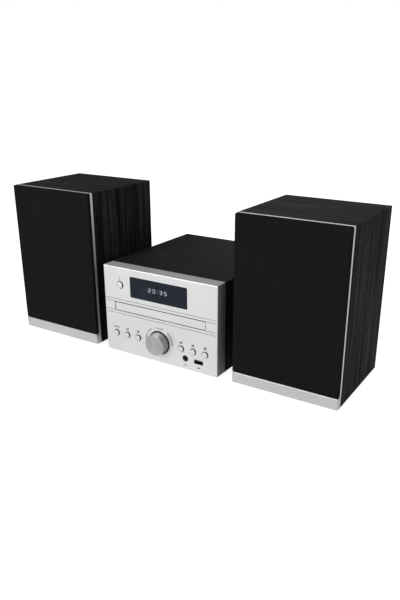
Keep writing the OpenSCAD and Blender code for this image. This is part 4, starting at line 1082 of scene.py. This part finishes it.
def print_on_front(name, shapes, x_mm, z_mm):
    """Joins flat shapes, stands them on the front panel and gives them the thickness of ink."""
    mark = join(shapes)
    mark.name = name
    mark.data.name = name
    settle(mark)
    clean_mesh(mark, 1e-5)
    mark.scale = (MM, MM, MM)
    mark.rotation_euler = (math.radians(90), 0, 0)
    mark.location = (x_mm * MM, FRONT_Y - INK_SINK, z_mm * MM)
    settle(mark)
    thicken(mark, INK_FILM, 0)
    mark.data.materials.clear()
    mark.data.materials.append(ink_dark)
    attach(mark, "receiver")
    printed.append(mark.name)


def middle_x(part):
    """The middle of a solid across the front, in millimetres."""
    low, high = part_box(part)
    return (low.x + high.x) / 2 / MM


print("ink:", ink_dark.name)

# %% Signs of the buttons
SIGN_Z, STANDBY_Z = 39.4, 110.7
button_x = {part: middle_x(part + "_button") for part in BUTTONS}
print_on_front("source_word", [flat_word("SOURCE", 1.9, 0.08)], button_x["source"], SIGN_Z + 0.1)
print_on_front("play_sign", [arrow(-0.6, 0, 1.85), flat_bar(0.95, 3.0, 1.85)], button_x["play"], SIGN_Z)
print_on_front("stop_sign", [flat_bar(2.8, 2.8)], button_x["stop"], SIGN_Z)
print_on_front("back_sign", [arrow(-1.0, 180, 1.7), arrow(1.0, 180, 1.7)], button_x["back"], SIGN_Z)
print_on_front("next_sign", [arrow(1.0, 0, 1.7), arrow(-1.0, 0, 1.7)], button_x["next"], SIGN_Z)
print_on_front("mode_sign", [flat_arc(1.3, 1.1, 0, 300), arrow(1.2, -90, 1.3)], button_x["mode"], SIGN_Z)
print_on_front("standby_sign", [flat_arc(1.15, 0.4, 0, 62), flat_arc(1.15, 0.4, 118, 360),
                                flat_bar(0.4, 1.3, 0, 0.85)], button_x["power"] - 0.4, STANDBY_Z)
print("signs:", printed)

# %% Marks of the knob and the sockets
ARC_R, ARC_W, DOT_R = 21.5, 0.8, 0.9
VOLUME_X, VOLUME_Z, HEADPHONE_Z, STICK_Z = 0.8, 51.5, 9.2, 9.7
knob_low, knob_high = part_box("volume_knob")
knob_z = (knob_low.z + knob_high.z) / 2 / MM


def arc_dot(angle):
    """A dot at the end of an arc beside the knob."""
    turn = math.radians(angle)
    return move_flat(flat_polygon(24, DOT_R), ARC_R * math.cos(turn), ARC_R * math.sin(turn))


print_on_front("volume_word", [flat_word("VOLUME", 2.4, 0.0)], VOLUME_X, VOLUME_Z)
print_on_front("volume_arcs", [flat_arc(ARC_R, ARC_W, 5, 54), flat_arc(ARC_R, ARC_W, 124, 172),
                               arc_dot(4), arc_dot(173)], 0, knob_z)
print_on_front("headphone_sign", [flat_arc(1.5, 0.45, 0, 180), flat_bar(0.9, 1.5, -1.45, -0.6),
                                  flat_bar(0.9, 1.5, 1.45, -0.6)], middle_x("headphone_jack"), HEADPHONE_Z)
print_on_front("stick_sign", [flat_bar(2.8, 1.6, -0.5), flat_bar(1.2, 1.0, 1.6)],
               middle_x("usb_socket"), STICK_Z)
print("printed marks:", len(printed))


# %% [markdown]
# ## Screws
# The rear panel and the sides of the cover are held by cross-head screws. A bump could hint at them, but they stand
# proud and show from the side. So one is made from a cylinder with a rounded rim and a cross cut into it, and
# copies are set at the places where the sheet needs holding.

# %% One screw
SCREW_R, SCREW_H, SCREW_SIDES = 2.6 * MM, 1.3 * MM, 32


def cross_screw():
    """A screw head standing on the plane Z = 0 at the origin."""
    bpy.ops.object.select_all(action="DESELECT")
    bpy.ops.mesh.primitive_cylinder_add(vertices=SCREW_SIDES, radius=SCREW_R, depth=SCREW_H,
                                        location=(0, 0, SCREW_H / 2))
    head = bpy.context.object
    settle(head)
    select_edges(head, lambda a, b: min(a.z, b.z) > SCREW_H * 0.9)
    bpy.ops.mesh.bevel(offset=SCREW_H * 0.6, segments=4, affect="EDGES")
    bpy.ops.object.mode_set(mode="OBJECT")
    for turn in (0, 90):
        bpy.ops.object.select_all(action="DESELECT")
        bpy.ops.mesh.primitive_cube_add(size=1, location=(0, 0, SCREW_H))
        slot = bpy.context.object
        slot.scale = (SCREW_R * 1.25, SCREW_R * 0.3, SCREW_H * 1.2)
        slot.rotation_euler = (0, 0, math.radians(turn))
        settle(slot)
        take(head)
        cut = head.modifiers.new("cross", "BOOLEAN")
        cut.operation = "DIFFERENCE"
        cut.solver = "EXACT"
        cut.object = slot
        bpy.ops.object.modifier_apply(modifier="cross")
        bpy.data.objects.remove(slot)
    take(head)
    bpy.ops.object.shade_smooth_by_angle(angle=math.radians(30))
    return head


pattern = cross_screw()
print("screw head:", len(pattern.data.polygons), "faces")

# %% Screws in their seats
REAR_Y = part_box("rear_panel")[1].y
SIDE_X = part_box("top_cover")[1].x
REAR_SEATS = [(x, z) for x in (-82, 82) for z in (11, 70, 118)] + [(-12, 46), (8, 66.8)]
SIDE_SEATS = [(s, y) for s in (-1, 1) for y in (20, 92)]
SIDE_SEAT_Z = 11
screw_steel = plated("screw_steel", (0.09, 0.09, 0.092), 0.35)
seats = [("rear", (x * MM, REAR_Y, z * MM), (-90, 0, 0)) for x, z in REAR_SEATS]
seats += [("side", (s * SIDE_X, y * MM, SIDE_SEAT_Z * MM), (0, s * 90, 0)) for s, y in SIDE_SEATS]
for number, (where, place, turn) in enumerate(seats, 1):
    screw = own_copy(pattern)
    screw.name = f"{where}_screw_{number}"
    screw.rotation_euler = [math.radians(t) for t in turn]
    screw.location = place
    settle(screw)
    screw.data.materials.append(screw_steel)
    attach(screw, "receiver")
bpy.data.objects.remove(pattern)
print("screws:", len(seats))
